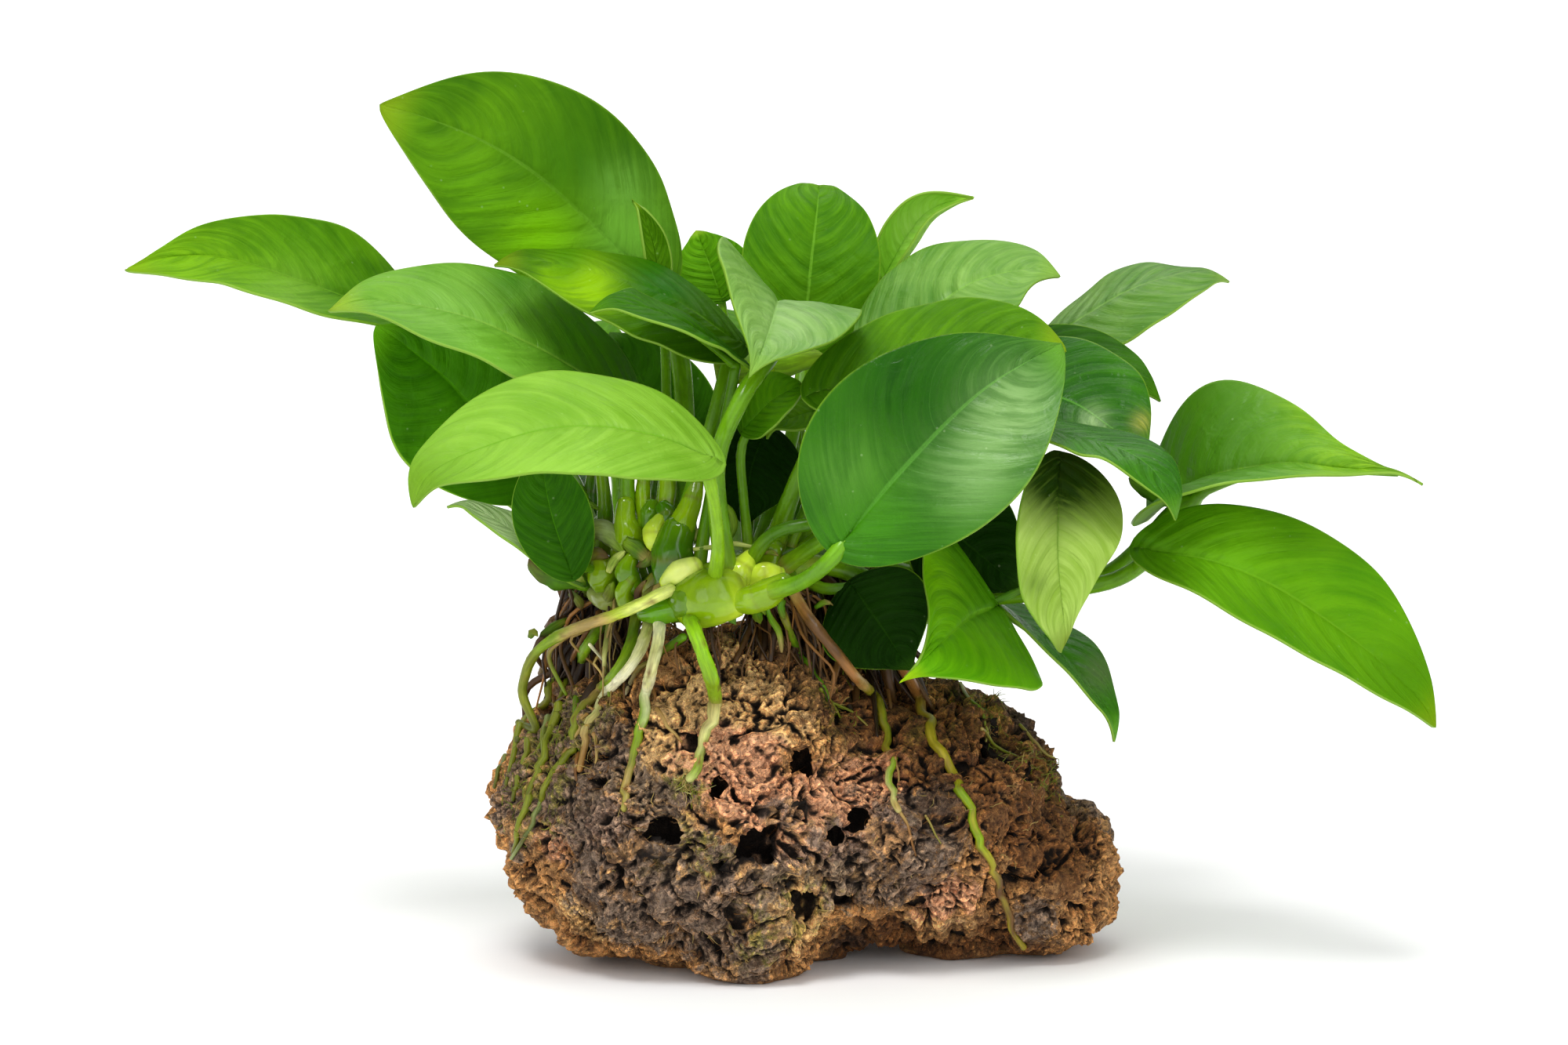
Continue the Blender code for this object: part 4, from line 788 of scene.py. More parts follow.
class Finish:
    """A material whose nodes are added by one call each. A value is a number, a colour or a socket."""

    def __init__(self, name, roughness=0.5, specular=0.5):
        self.material = bpy.data.materials.new(name)
        self.material.use_nodes = True
        self.tree = self.material.node_tree
        self.shader = self.tree.nodes["Principled BSDF"]
        self.shader.inputs["Roughness"].default_value = roughness
        self.shader.inputs["Specular IOR Level"].default_value = specular
        self.place = self.add("ShaderNodeTexCoord").outputs["Object"]

    def add(self, kind, inputs=(), **settings):
        node = self.tree.nodes.new(kind)
        for setting, value in settings.items():
            setattr(node, setting, value)
        for key, value in dict(inputs).items():
            self.give(node.inputs[key], value)
        return node

    def give(self, socket, value):
        if isinstance(value, bpy.types.NodeSocket):
            self.tree.links.new(value, socket)
        elif isinstance(value, (tuple, Vector)) and socket.type == "RGBA":
            socket.default_value = (*value, 1)
        else:
            socket.default_value = value

    def number(self, operation, first, second=0.0, third=0.0):
        return self.add("ShaderNodeMath", {0: first, 1: second, 2: third}, operation=operation).outputs[0]

    def plus(self, first, second):
        return self.number("ADD", first, second)

    def minus(self, first, second):
        return self.number("SUBTRACT", first, second)

    def times(self, first, second):
        return self.number("MULTIPLY", first, second)

    def ramp(self, value, low, high, start=0.0, end=1.0):
        node = self.add("ShaderNodeMapRange", {0: value, 1: low, 2: high, 3: start, 4: end},
                        interpolation_type="SMOOTHSTEP")
        return node.outputs[0]

    def mix(self, share, first, second, how="MIX"):
        node = self.add("ShaderNodeMix", {0: share, 6: first, 7: second}, data_type="RGBA", blend_type=how)
        return node.outputs[2]

    def tinted(self, colour, tint):
        """A colour multiplied by another."""
        return self.mix(1.0, colour, tint, "MULTIPLY")

    def vector(self, *parts):
        return self.add("ShaderNodeCombineXYZ", dict(enumerate(parts))).outputs[0]

    def noise(self, scale, detail=3.0, rough=0.5, warp=0.0, at=None):
        inputs = {"Vector": at or self.place, "Scale": scale, "Detail": detail}
        inputs.update({"Roughness": rough, "Distortion": warp})
        return self.add("ShaderNodeTexNoise", inputs).outputs[0]

    def cells(self, scale):
        """How far the nearest of many scattered points is."""
        return self.add("ShaderNodeTexVoronoi", {"Vector": self.place, "Scale": scale}).outputs["Distance"]

    def attribute(self, name, kind="Fac"):
        return self.add("ShaderNodeAttribute", attribute_name=name).outputs[kind]

    def bump(self, height, distance, strength=1.0, under=None):
        inputs = {"Height": height, "Distance": distance, "Strength": strength}
        if under:
            inputs["Normal"] = under
        return self.add("ShaderNodeBump", inputs).outputs[0]

    def paint(self, colour, roughness=None, normal=None, through=0.0, glow=None):
        """Sets the shader, mixed with a share of light that comes through from behind."""
        self.give(self.shader.inputs["Base Color"], colour)
        if roughness:
            self.give(self.shader.inputs["Roughness"], roughness)
        if normal:
            self.give(self.shader.inputs["Normal"], normal)
        if through:
            thin = self.add("ShaderNodeBsdfTranslucent", {"Color": glow or colour}).outputs[0]
            mixed = self.add("ShaderNodeMixShader", {0: through, 1: self.shader.outputs[0], 2: thin})
            self.give(self.tree.nodes["Material Output"].inputs["Surface"], mixed.outputs[0])
        return self.material


def blade_finish(name, tone, seed):
    """A leaf's face: veins that sweep to the tip, mottled green, patches mostly of painted sheen and
    shade, specks and a pale margin, with painted shade at its stalk end.
    """
    f = Finish(name, tone.roughness, SHINE.get(name, DULL))
    uv = f.add("ShaderNodeSeparateXYZ", {0: f.add("ShaderNodeTexCoord").outputs["UV"]})
    along, across = uv.outputs[0], uv.outputs[1]
    aside = f.number("MULTIPLY_ADD", across, 2.0, -1.0)
    reach = f.number("ABSOLUTE", aside)
    side = f.times(f.number("SIGN", aside), VEIN_STAGGER)
    shift = {"Vector": f.place, "Location": (seed * 0.37, seed * 0.11, seed * 0.23)}
    moved = f.add("ShaderNodeMapping", shift).outputs[0]
    drift = f.times(f.minus(f.noise(45, 2, at=moved), 0.5), 0.05)
    sweep = f.times(f.number("POWER", reach, VEIN_CURVE), -VEIN_SWEEP)
    run = f.plus(f.plus(along, side), f.plus(sweep, drift))
    phase = f.times(run, float(SIDE_VEINS))
    from_vein = f.times(f.number("PINGPONG", phase, 0.5), 2.0)
    loose = f.number("MULTIPLY_ADD", phase, 4.0, f.times(f.noise(160, 2, at=moved), 1.6))
    finer = f.times(f.number("PINGPONG", loose, 0.5), 2.0)
    fade = f.times(f.ramp(reach, 1.0, 0.6), f.ramp(along, 0.97, 0.8))
    vein = f.times(f.ramp(from_vein, 0.06, 0.01, 0.0, 0.45), fade)
    fine_vein = f.times(f.ramp(finer, 0.5, 0.0), fade)
    rib_width = f.ramp(along, 0.0, 1.0, 0.045, 0.02)
    rib = f.ramp(f.number("DIVIDE", reach, rib_width), 1.0, 0.45)
    mottle = f.ramp(f.noise(45, 3, 0.5, 0.6, moved), 0.32, 0.68)
    brushed = f.vector(f.times(run, 30.0), f.times(aside, 1.6), float(seed))
    streak = f.ramp(f.noise(1.0, 4, 0.6, at=brushed), 0.34, 0.68)
    # The face goes from its deep to its light green by mottle and lengthwise streaks, partly its own
    # colour and partly painted sheen, and is lighter midway between the side veins: a painted highlight on
    # the puffed blade
    cloud = f.plus(f.times(mottle, 0.52), f.times(streak, 0.32))
    cloud = f.plus(cloud, f.times(from_vein, 0.16))
    green = f.mix(cloud, tone.deep, tone.light)
    green = f.mix(f.times(fine_vein, 0.10 * tone.veins), green, tone.vein)
    green = f.mix(f.times(vein, tone.veins), green, tone.vein)
    # Painted shade: the blade darkens towards its stalk end, where the leaves around it shade it
    dark = tuple(channel * 0.42 for channel in tone.deep)
    green = f.mix(f.ramp(along, 0.5, 0.04, 0.0, tone.shade), green, dark)
    green = f.mix(f.times(rib, 0.75), green, tone.vein)
    green = f.mix(f.ramp(along, 0.86, 1.0, 0.0, 0.8), green, tone.tip)
    green = f.mix(f.ramp(reach, 0.975, 1.0, 0.0, 0.6), green, MARGIN_COLOUR)
    # The leaf's gain: partly its own colour, partly painted light and shade over the whole leaf
    green = f.tinted(green, f.attribute("gain", "Color"))
    # The patches: mostly painted sheen, highlights and shadow, partly the leaf's own colour
    streaky = f.plus(f.times(streak, 0.5), f.times(mottle, 0.5))
    patch = f.times(f.attribute("patch", "Alpha"), f.ramp(streaky, 0.15, 0.75, 0.6, 1.35))
    green = f.mix(patch, green, f.attribute("patch", "Color"))
    specks = f.times(f.ramp(f.cells(430), 0.11, 0.05), f.ramp(f.noise(150, 1), 0.50, 0.60))
    green = f.mix(f.times(specks, 0.4), green, f.mix(1.0, green, (0.22, 0.24, 0.16), "ADD"))
    grain = f.noise(1500, 2, 0.6)
    height = f.plus(f.times(grain, 0.35), f.times(fine_vein, -0.18))
    height = f.minus(height, f.times(vein, 0.8))
    pucker = f.noise(170, 3, 0.55, 0.5, moved)
    puffed = f.times(f.ramp(from_vein, 0.0, 0.9), fade)
    relief = f.plus(f.times(pucker, 1.2), f.times(puffed, 0.3))
    relief = f.plus(relief, f.times(streak, 0.12))
    normal = f.bump(height, 0.12 * MM, 0.6, f.bump(relief, 0.6 * MM, 0.9))
    rough = f.ramp(f.noise(300, 3), 0.35, 0.65, tone.roughness - 0.05, tone.roughness + 0.10)
    glow = f.mix(0.5, green, tuple(min(1, channel * 2.2) for channel in tone.light))
    return f.paint(green, rough, normal, tone.through, glow)


def margin_finish():
    """The thin pale edge of a blade."""
    f = Finish("leaf_margin", 0.4, 0.4)
    return f.paint(f.mix(f.noise(400), MARGIN_COLOUR, (0.28, 0.50, 0.05)), through=0.3)


def tinted_finish(name, roughness, specular, through, streak, grain):
    """A skin coloured by its own tint, with lengthwise streaks and fine grain of the given depths."""
    f = Finish(name, roughness, specular)
    tint = f.attribute("tint", "Color")
    uv = f.add("ShaderNodeTexCoord").outputs["UV"]
    turn = f.times(f.add("ShaderNodeSeparateXYZ", {0: uv}).outputs[1], 2 * math.pi)
    around = f.vector(f.number("COSINE", turn), f.number("SINE", turn), f.times(f.attribute("run"), 0.12))
    lines = f.noise(2.6, 3, 0.6, at=around)
    blotches = f.ramp(f.noise(380, 4, 0.6), 0.3, 0.75, 0.0, 0.55)
    light = f.mix(blotches, tint, f.tinted(tint, (1.5, 1.42, 1.3)))
    skin = f.mix(f.ramp(lines, 0.62, 0.35, 0.0, streak), light, f.tinted(tint, (0.5, 0.5, 0.45)))
    height = f.plus(f.times(lines, streak), f.noise(1100, 3, 0.6))
    normal = f.bump(height, grain, 0.7)
    rough = f.ramp(f.noise(260, 2), 0.3, 0.7, roughness - 0.08, roughness + 0.1)
    return f.paint(skin, rough, normal, through)


def stone_finish():
    """Porous lava: rust, tan, grey crust, fibres, algae, painted shade in hollows and painted highlights
    on crests.
    """
    f = Finish("lava_stone", 0.85, 0.3)
    hollow, crest = f.attribute("hollow"), f.attribute("crest")
    swirl = f.noise(70, 6, 0.72, 0.8)
    bits = f.noise(240, 5, 0.7, 0.8)
    fine = f.noise(650, 5, 0.75, 1.2)
    crumbs = f.noise(1500, 3, 0.7, 0.6)
    rust = f.mix(f.ramp(bits, 0.36, 0.62), (0.095, 0.040, 0.014), (0.42, 0.20, 0.070))
    tan = f.mix(f.ramp(fine, 0.34, 0.64), (0.26, 0.130, 0.045), (0.98, 0.64, 0.28))
    red = f.mix(f.ramp(fine, 0.34, 0.64), (0.24, 0.085, 0.042), (0.96, 0.50, 0.29))
    crust = f.mix(f.ramp(fine, 0.36, 0.66), (0.026, 0.020, 0.017), (0.29, 0.220, 0.175))
    crumbly = f.mix(f.ramp(bits, 0.42, 0.6), (0.09, 0.048, 0.022), (0.58, 0.33, 0.14))
    crust = f.mix(f.ramp(f.noise(110, 6, 0.75, 1.2), 0.51, 0.57, 0.0, 0.85), crust, crumbly)
    algae = f.mix(f.ramp(fine, 0.3, 0.7), (0.07, 0.07, 0.005), (0.38, 0.36, 0.03))
    ground = f.mix(f.ramp(fine, 0.42, 0.62, 0.0, 0.8), rust, (0.66, 0.35, 0.13))
    edge = f.times(f.plus(f.minus(swirl, 0.5), f.minus(bits, 0.5)), 2.2)

    def patch(name, low, high):
        return f.ramp(f.plus(f.attribute(name), edge), low, high)

    ground = f.mix(f.times(patch("tan", 0.35, 0.65), 0.8), ground, tan)
    ground = f.mix(f.times(patch("red", 0.35, 0.65), 0.8), ground, red)
    ground = f.mix(f.times(patch("crust", 0.42, 0.66), 0.84), ground, crust)
    spots = f.times(patch("algae", 0.35, 0.85), f.ramp(f.noise(420, 4, 0.7), 0.45, 0.58))
    ground = f.mix(f.times(spots, 0.6), ground, algae)
    # Painted shade where the dark patches lie
    shaded = f.tinted(ground, (0.34, 0.26, 0.20))
    ground = f.mix(f.times(patch("dark", 0.3, 0.8), 0.85), ground, shaded)
    fibres = f.number("MAXIMUM", thread(f, 260, 1.6, 0.022), thread(f, 520, 1.2, 0.03))
    ground = f.mix(f.times(fibres, 0.45), ground, f.tinted(ground, (2.6, 2.5, 2.2)))
    # Painted highlights on the crests of the relief, painted shade in its fine creases and its deep
    # hollows
    ground = f.mix(f.ramp(crest, 0.55, 0.76, 0.0, 0.85), ground, f.tinted(ground, (2.2, 2.05, 1.85)))
    ground = f.mix(f.ramp(crest, 0.46, 0.27, 0.0, 0.75), ground, (0.012, 0.006, 0.003))
    ground = f.mix(f.ramp(hollow, 0.52, 0.72, 0.0, 0.95), ground, (0.008, 0.004, 0.002))
    ground = f.mix(f.ramp(crumbs, 0.44, 0.33, 0.0, 0.7), ground, (0.018, 0.010, 0.005))
    height = f.plus(f.times(crumbs, 0.5), f.times(fibres, 0.35))
    height = f.plus(f.times(bits, 0.8), f.plus(fine, height))
    normal = f.bump(height, 0.9 * MM, 1.0)
    return f.paint(ground, None, normal)


def thread(f, scale, warp, width):
    """Thin curly lines in a finish: 1 on them and 0 between."""
    level = f.number("ABSOLUTE", f.minus(f.noise(scale, 3, 0.6, warp), 0.5))
    return f.ramp(level, width, width * 0.2)


def make_finishes():
    FINISHES["underside"] = blade_finish("leaf_underside", UNDERSIDE, UNDERSIDE_SEED)
    FINISHES["margin"] = margin_finish()
    FINISHES["stone"] = stone_finish()
    for name, (roughness, specular, through, streak, grain) in SKINS.items():
        FINISHES[name] = tinted_finish(name + "_skin", roughness, specular, through, streak, grain * MM)
    for seed, tone in enumerate(LEAF_TONES):
        FINISHES[tone] = blade_finish("leaf_" + tone, TONES[tone], seed + 1)


def new_piece(name, shape, finishes, slot, *nodes):
    """A smooth-shaded object from a bmesh, riding with the plant and standing for CAD nodes."""
    mesh = bpy.data.meshes.new(name)
    shape.to_mesh(mesh)
    shape.free()
    mesh.shade_smooth()
    for finish in finishes:
        mesh.materials.append(FINISHES[finish])
    piece = bpy.data.objects.new(name, mesh)
    bpy.context.scene.collection.objects.link(piece)
    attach(piece, BODY)
    if nodes:
        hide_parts(*nodes)
    return piece


def apply_modifiers(piece):
    """Makes the piece's modifiers part of its mesh."""
    bpy.context.view_layer.update()
    graph = bpy.context.evaluated_depsgraph_get()
    mesh = bpy.data.meshes.new_from_object(piece.evaluated_get(graph))
    piece.modifiers.clear()
    piece.data = mesh


def add_shell(piece, thickness):
    """Gives a piece of one layer its thickness, half on either side."""
    shell = piece.modifiers.new("thickness", "SOLIDIFY")
    shell.thickness = thickness
    shell.offset = 0
    return shell


def set_uvs(faces, uv_layer, places):
    """Gives every corner of the faces the place that its vertex has on the flat skin."""
    for face in faces:
        for corner in face.loops:
            corner[uv_layer].uv = places[corner.vert]


def rib_frame(leaf, rib, along):
    """Where a blade's midrib is at a share of its length, which ways it faces, and its half widths."""
    place = along_line(rib, along)
    before = along_line(rib, max(0, along - HEADING_REACH))
    after = along_line(rib, min(1, along + HEADING_REACH))
    heading = (after - before).normalized()
    face = Matrix.Rotation(math.radians(leaf.twist * along), 3, heading) @ Vector(leaf.face)
    side = heading.cross(face).normalized()
    upward = side.cross(heading)
    halves = []
    for belly in leaf.belly:
        taper = BASE_ROUNDNESS * (1 - belly) / belly
        fullest = belly ** BASE_ROUNDNESS * (1 - belly) ** taper
        fullness = along ** BASE_ROUNDNESS * (1 - along) ** taper / fullest
        halves.append(leaf.width / 2 * MM * fullness * (1 - TIP_SHARPNESS * along ** 6))
    return place, heading, side, upward, halves


def blade_place(leaf, length, here, along, aside):
    """A point of a leaf's blade without its fine shape: along is 0 to 1, aside -1 to 1."""
    place, heading, side, upward, halves = here
    which = 0 if aside < 0 else 1
    lean, bend = math.radians(leaf.fold[which]), math.radians(leaf.curl[which])
    reach = abs(aside)
    if abs(bend) < 0.01:
        out, rise = reach * math.cos(lean), reach * math.sin(lean)
    else:
        out = (math.sin(lean + bend * reach) - math.sin(lean)) / bend
        rise = (math.cos(lean) - math.cos(lean + bend * reach)) / bend
    back = leaf.lobe * length * (1 - along) ** 6 * reach ** 1.5
    half = halves[which]
    return place + side * (math.copysign(out, aside) * half) + upward * (rise * half) - heading * back


def fine_height(leaf, along, aside, seed):
    """How far a blade's face stands above its plain form: midrib groove, quilting and edge waves."""
    reach = abs(aside)
    scale = leaf.width / USUAL_WIDTH
    groove = -GROOVE_DEPTH * math.exp(-(reach / GROOVE_WIDTH) ** 2) * (1 - along ** 3)
    arch = HALF_ARCH * math.sin(math.pi * min(1, reach)) * (1 - along)
    run = (along + math.copysign(VEIN_STAGGER, aside) - VEIN_SWEEP * reach ** VEIN_CURVE) * SIDE_VEINS
    window = eased(reach, 0.05, 0.25) * eased(1 - reach, 0.0, 0.35) * eased(1 - along, 0.05, 0.3)
    quilt = QUILT_HEIGHT * (math.cos(2 * math.pi * run) * -0.5 - 0.5) * window
    turn = seed * 2.4 + (1.3 if aside < 0 else 0)
    middle = math.sin(math.pi * along)
    swing = math.sin(along * FIRST_WAVE + turn) + SECOND_SHARE * math.sin(along * SECOND_WAVE + turn * 1.7)
    wave = EDGE_WAVE * reach ** 3 * middle * swing
    roll = ROLL_HEIGHT * noise.noise(Vector((along * 3, aside * 1.5, seed * 7.3))) * middle
    return (groove + arch + quilt + wave + roll) * scale


def seen_pixel(point):
    """The pixel of the front view where a point is seen."""
    ray = point - EYE
    scale = EYE_DISTANCE / (ray.dot(AWAY) * PIXEL)
    return VIEW_MIDDLE[0] + ray.dot(TO_RIGHT) * scale, VIEW_MIDDLE[1] - ray.dot(TO_TOP) * scale


def light_and_tone_patch_at(patches, point):
    """The colour of the patches at a point of a leaf, and how strong it is there."""
    seen = seen_pixel(point)
    colour, strength = Vector((0, 0, 0)), 0.0
    for across, down, radius, paint, share in patches:
        away = math.dist((across, down), seen) * PIXEL / (radius * MM)
        weight = share * math.exp(-away * away)
        strength = 1 - (1 - strength) * (1 - weight)
        colour = colour.lerp(Vector(paint), weight / max(strength, 0.001))
    return (*colour, strength)


def build_blade(leaf, rib, tone, seed):
    """The blade, shaped from a grid whose rows run across the leaf from its base to its tip."""
    length = rib[1][-1]
    shape = bmesh.new()
    uv_layer = shape.loops.layers.uv.new("UVMap")
    gain_layer = shape.verts.layers.float.new("gain")
    light_and_tone_layer = shape.verts.layers.float_color.new("patch")
    patches = LEAF_LIGHT_AND_TONE_PATCHES.get(leaf.name, ())
    bmesh.ops.create_grid(shape, x_segments=BLADE_ROWS, y_segments=BLADE_COLUMNS, size=1)
    places = {}
    frames = {}
    for vertex in shape.verts:
        even, across = (vertex.co.x + 1) / 2, vertex.co.y
        along = ROW_EVENNESS * even + (1 - ROW_EVENNESS) * (1 - math.cos(math.pi * even)) / 2
        reach = abs(across)
        spaced = COLUMN_EVENNESS * reach + (1 - COLUMN_EVENNESS) * reach * reach * (3 - 2 * reach)
        aside = math.copysign(spaced, across)
        places[vertex] = (along, (aside + 1) / 2)
        row = round(even * BLADE_ROWS)
        if row not in frames:
            frames[row] = rib_frame(leaf, rib, along)
        here = frames[row]
        upward = here[3]
        hook = TIP_HOOK * max(0, (along - HOOK_START) / (1 - HOOK_START)) ** HOOK_CURVE
        lift = fine_height(leaf, along, aside, seed) - hook
        vertex.co = blade_place(leaf, length, here, along, aside) + upward * lift
        vertex[gain_layer] = LEAF_GAINS.get(leaf.name, 1.0)
        # The colour and strength of the patches here: mostly painted sheen, highlights and shadow
        vertex[light_and_tone_layer] = light_and_tone_patch_at(patches, vertex.co)
    set_uvs(shape.faces, uv_layer, places)
    bmesh.ops.remove_doubles(shape, verts=shape.verts, dist=BLADE_JOIN)
    bmesh.ops.reverse_faces(shape, faces=shape.faces)
    name = leaf.name.replace("leaf_", "blade_")
    blade = new_piece(name, shape, (tone, "underside", "margin"), leaf_slot(tone), leaf.name)
    shell = add_shell(blade, BLADE_THICKNESS)
    shell.material_offset = 1
    shell.material_offset_rim = 2


def leaf_slot(tone):
    """The slot of a leaf's pieces by its tone."""
    if tone in ("deep", "dusk"):
        return "leaf_dark"
    return "leaf_bright" if tone in ("spring", "hazy", "pale", "yellow") else "leaf_green"


def sweep_tube(shape, layers, route, sides, tint_at, swell=None):
    """Adds a closed tube along (point, radius) places. tint_at and swell read its share and angle."""
    uv_layer, tint_layer, run_layer = layers
    points = [point for point, _ in route]
    last = len(points) - 1
    runs = run_lengths(points)
    sections = []
    upward = Vector(TUBE_UP)
    for i in range(last + 1):
        heading = (points[min(i + 1, last)] - points[max(i - 1, 0)]).normalized()
        upward = (upward - heading * upward.dot(heading)).normalized()
        sections.append((upward, heading.cross(upward)))
    made = bmesh.ops.create_grid(shape, x_segments=last, y_segments=sides, size=1)["verts"]
    places = {}
    for vertex in made:
        row = round((vertex.co.x + 1) / 2 * last)
        share, turn = row / last, (vertex.co.y + 1) / 2
        angle = 2 * math.pi * turn
        radius = route[row][1] * (1 + (swell(share, angle) if swell else 0))
        first, second = sections[row]
        vertex.co = points[row] + (first * math.cos(angle) + second * math.sin(angle)) * radius
        vertex[tint_layer] = (*tint_at(share, angle), 1)
        vertex[run_layer] = runs[row] / MM
        places[vertex] = (share, turn)
    set_uvs({face for vertex in made for face in vertex.link_faces}, uv_layer, places)
    bmesh.ops.remove_doubles(shape, verts=made, dist=TUBE_JOIN)


def tube_shape():
    """An empty bmesh with the layers that a tinted tube needs."""
    shape = bmesh.new()
    uv_layer = shape.loops.layers.uv.new("UVMap")
    tint_layer = shape.verts.layers.float_color.new("tint")
    run_layer = shape.verts.layers.float.new("run")
    return shape, (uv_layer, tint_layer, run_layer)


def finished_tubes(shape):
    """The bmesh with every face turned outward."""
    bmesh.ops.recalc_face_normals(shape, faces=shape.faces)
    return shape


def capped(route):
    """The route with both ends closed by rounded caps."""
    start, radius = route[0]
    end, end_radius = route[-1]
    back = (start - route[1][0]).normalized()
    ahead = (end - route[-2][0]).normalized()
    head = [(start + back * radius * 0.8, 0.0), (start + back * radius * 0.5, radius * 0.7)]
    tail = [(end + ahead * end_radius * 0.6, end_radius * 0.7), (end + ahead * end_radius, 0.0)]
    return head + list(route) + tail


def build_stalk(leaf, rib, tone, seed):
    """The stalk, thicker at its sheathed foot and below the blade, and the midrib under the blade."""
    radius = max(THINNEST_STALK, STALK_SHARE * leaf.width * MM) * STALK_GIRTHS.get(leaf.name, 1.0)
    points = [seen_at(*place) for place in leaf.stalk]
    radii = [radius * FOOT_SWELL, *[radius] * (len(points) - 1)]
    for along, share, drop in MIDRIB:
        place, _, _, upward, _ = rib_frame(leaf, rib, along)
        thin = max(THINNEST_MIDRIB, radius * share)
        points.append(place - upward * (thin * drop + GROOVE_DEPTH * drop))
        radii.append(thin)
    route = smooth_route(points, radii, STALK_STEP)
    whole = run_lengths([point for point, _ in route])[-1]
    join = (whole - rib[1][-1] * MIDRIB[-1][0]) / whole
    green = Vector(STALK_COLOURS.get(tone, STALK_COLOUR))
    foot = Vector(FOOT_COLOUR)

    def tint_at(share, angle):
        colour = foot.lerp(green, eased(share * whole, FOOT_START, FOOT_END))
        knee = math.exp(-((share - join) * whole / KNEE_LIGHT_REACH) ** 2)
        colour = colour.lerp(green * 1.25, 0.6 * knee)
        ring = math.exp(-((share * whole - STALK_RING) / (0.5 * MM)) ** 2)
        return colour.lerp(Vector(STALK_RING_COLOUR), 0.7 * ring)

    def swell(share, angle):
        knee = KNEE_SWELL * math.exp(-((share - join) * whole / KNEE_REACH) ** 2)
        ring = 0.10 * math.exp(-((share * whole - STALK_RING) / (0.6 * MM)) ** 2)
        channel = -0.10 * max(0, math.cos(angle)) ** 4
        return knee + ring + channel + 0.05 * noise.noise(Vector((share * 9, angle, seed)))

    shape, layers = tube_shape()
    sweep_tube(shape, layers, capped(route), STALK_SIDES, tint_at, swell)
    name = leaf.name.replace("leaf_", "stalk_")
    new_piece(name, finished_tubes(shape), ("stalk",), leaf_slot(tone), leaf.name)


def build_leaves():
    tones = {"leaf_" + name: tone for tone, names in LEAF_TONES.items() for name in names.split()}
    for seed, leaf in enumerate(LEAVES):
        tone = tones[leaf.name]
        places = smooth_line([seen_at(*place) for place in leaf.rib], RIB_STEP)
        rib = places, run_lengths(places)
        build_blade(leaf, rib, tone, seed + 1)
        build_stalk(leaf, rib, tone, seed + 1)


def build_rhizome():
    """Glossy bulbs and the swollen feet of the shoots, with faint rings where old leaves stood."""
    shape, layers = tube_shape()
    for seed, (places, names) in enumerate(BULBS):
        points = [seen_at(*place) for *place, _ in places]
        radii = [radius * MM for *_, radius in places]
        route = domed(smooth_route(points, radii, BULB_STEP))
        length = len(route) * BULB_STEP / MM
        colours = [COLOURS[name] for name in names.split()]

        def tint_at(share, angle):
            blotch = noise.noise(Vector((share * length * 0.14, angle * 0.5, seed * 3.7)))
            colour = blend_colours(colours, share + 0.2 * blotch)
            ring = scar_at(share * length, seed)
            return colour.lerp(Vector(SCAR_COLOUR), 0.45 * ring) * (1 + 0.2 * blotch)

        def swell(share, angle):
            round_it = Vector((math.cos(angle) * 1.3, math.sin(angle) * 1.3 + seed, share * length * 0.2))
            return BULB_LUMPS * noise.noise(round_it) - SCAR_DEPTH * scar_at(share * length, seed)

        sweep_tube(shape, layers, route, BULB_SIDES, tint_at, swell)
    new_piece("rhizome_flesh", finished_tubes(shape), ("rhizome",), "rhizome_green", "rhizome")


def scar_at(run, seed):
    """1 on the ring-shaped scar of an old leaf and 0 between them."""
    waver = 0.8 * noise.noise(Vector((run * 0.3, seed, 0)))
    return math.exp(-(math.sin((run + waver + seed) * math.pi / SCAR_SPACING) / 0.12) ** 2)


def domed(route):
    """The route with both ends closed by domes as wide as they are deep."""
    ends = []
    for (point, radius), (inner, _) in ((route[0], route[1]), (route[-1], route[-2])):
        ahead = (point - inner).normalized()
        dome = []
        for turn in DOME_RINGS:
            lift = math.sin(math.radians(turn)) * 0.85
            dome.append((point + ahead * radius * lift, radius * math.cos(math.radians(turn))))
        ends.append([(point + ahead * radius * 0.87, 0.0), *dome])
    return ends[0] + list(route) + ends[1][::-1]


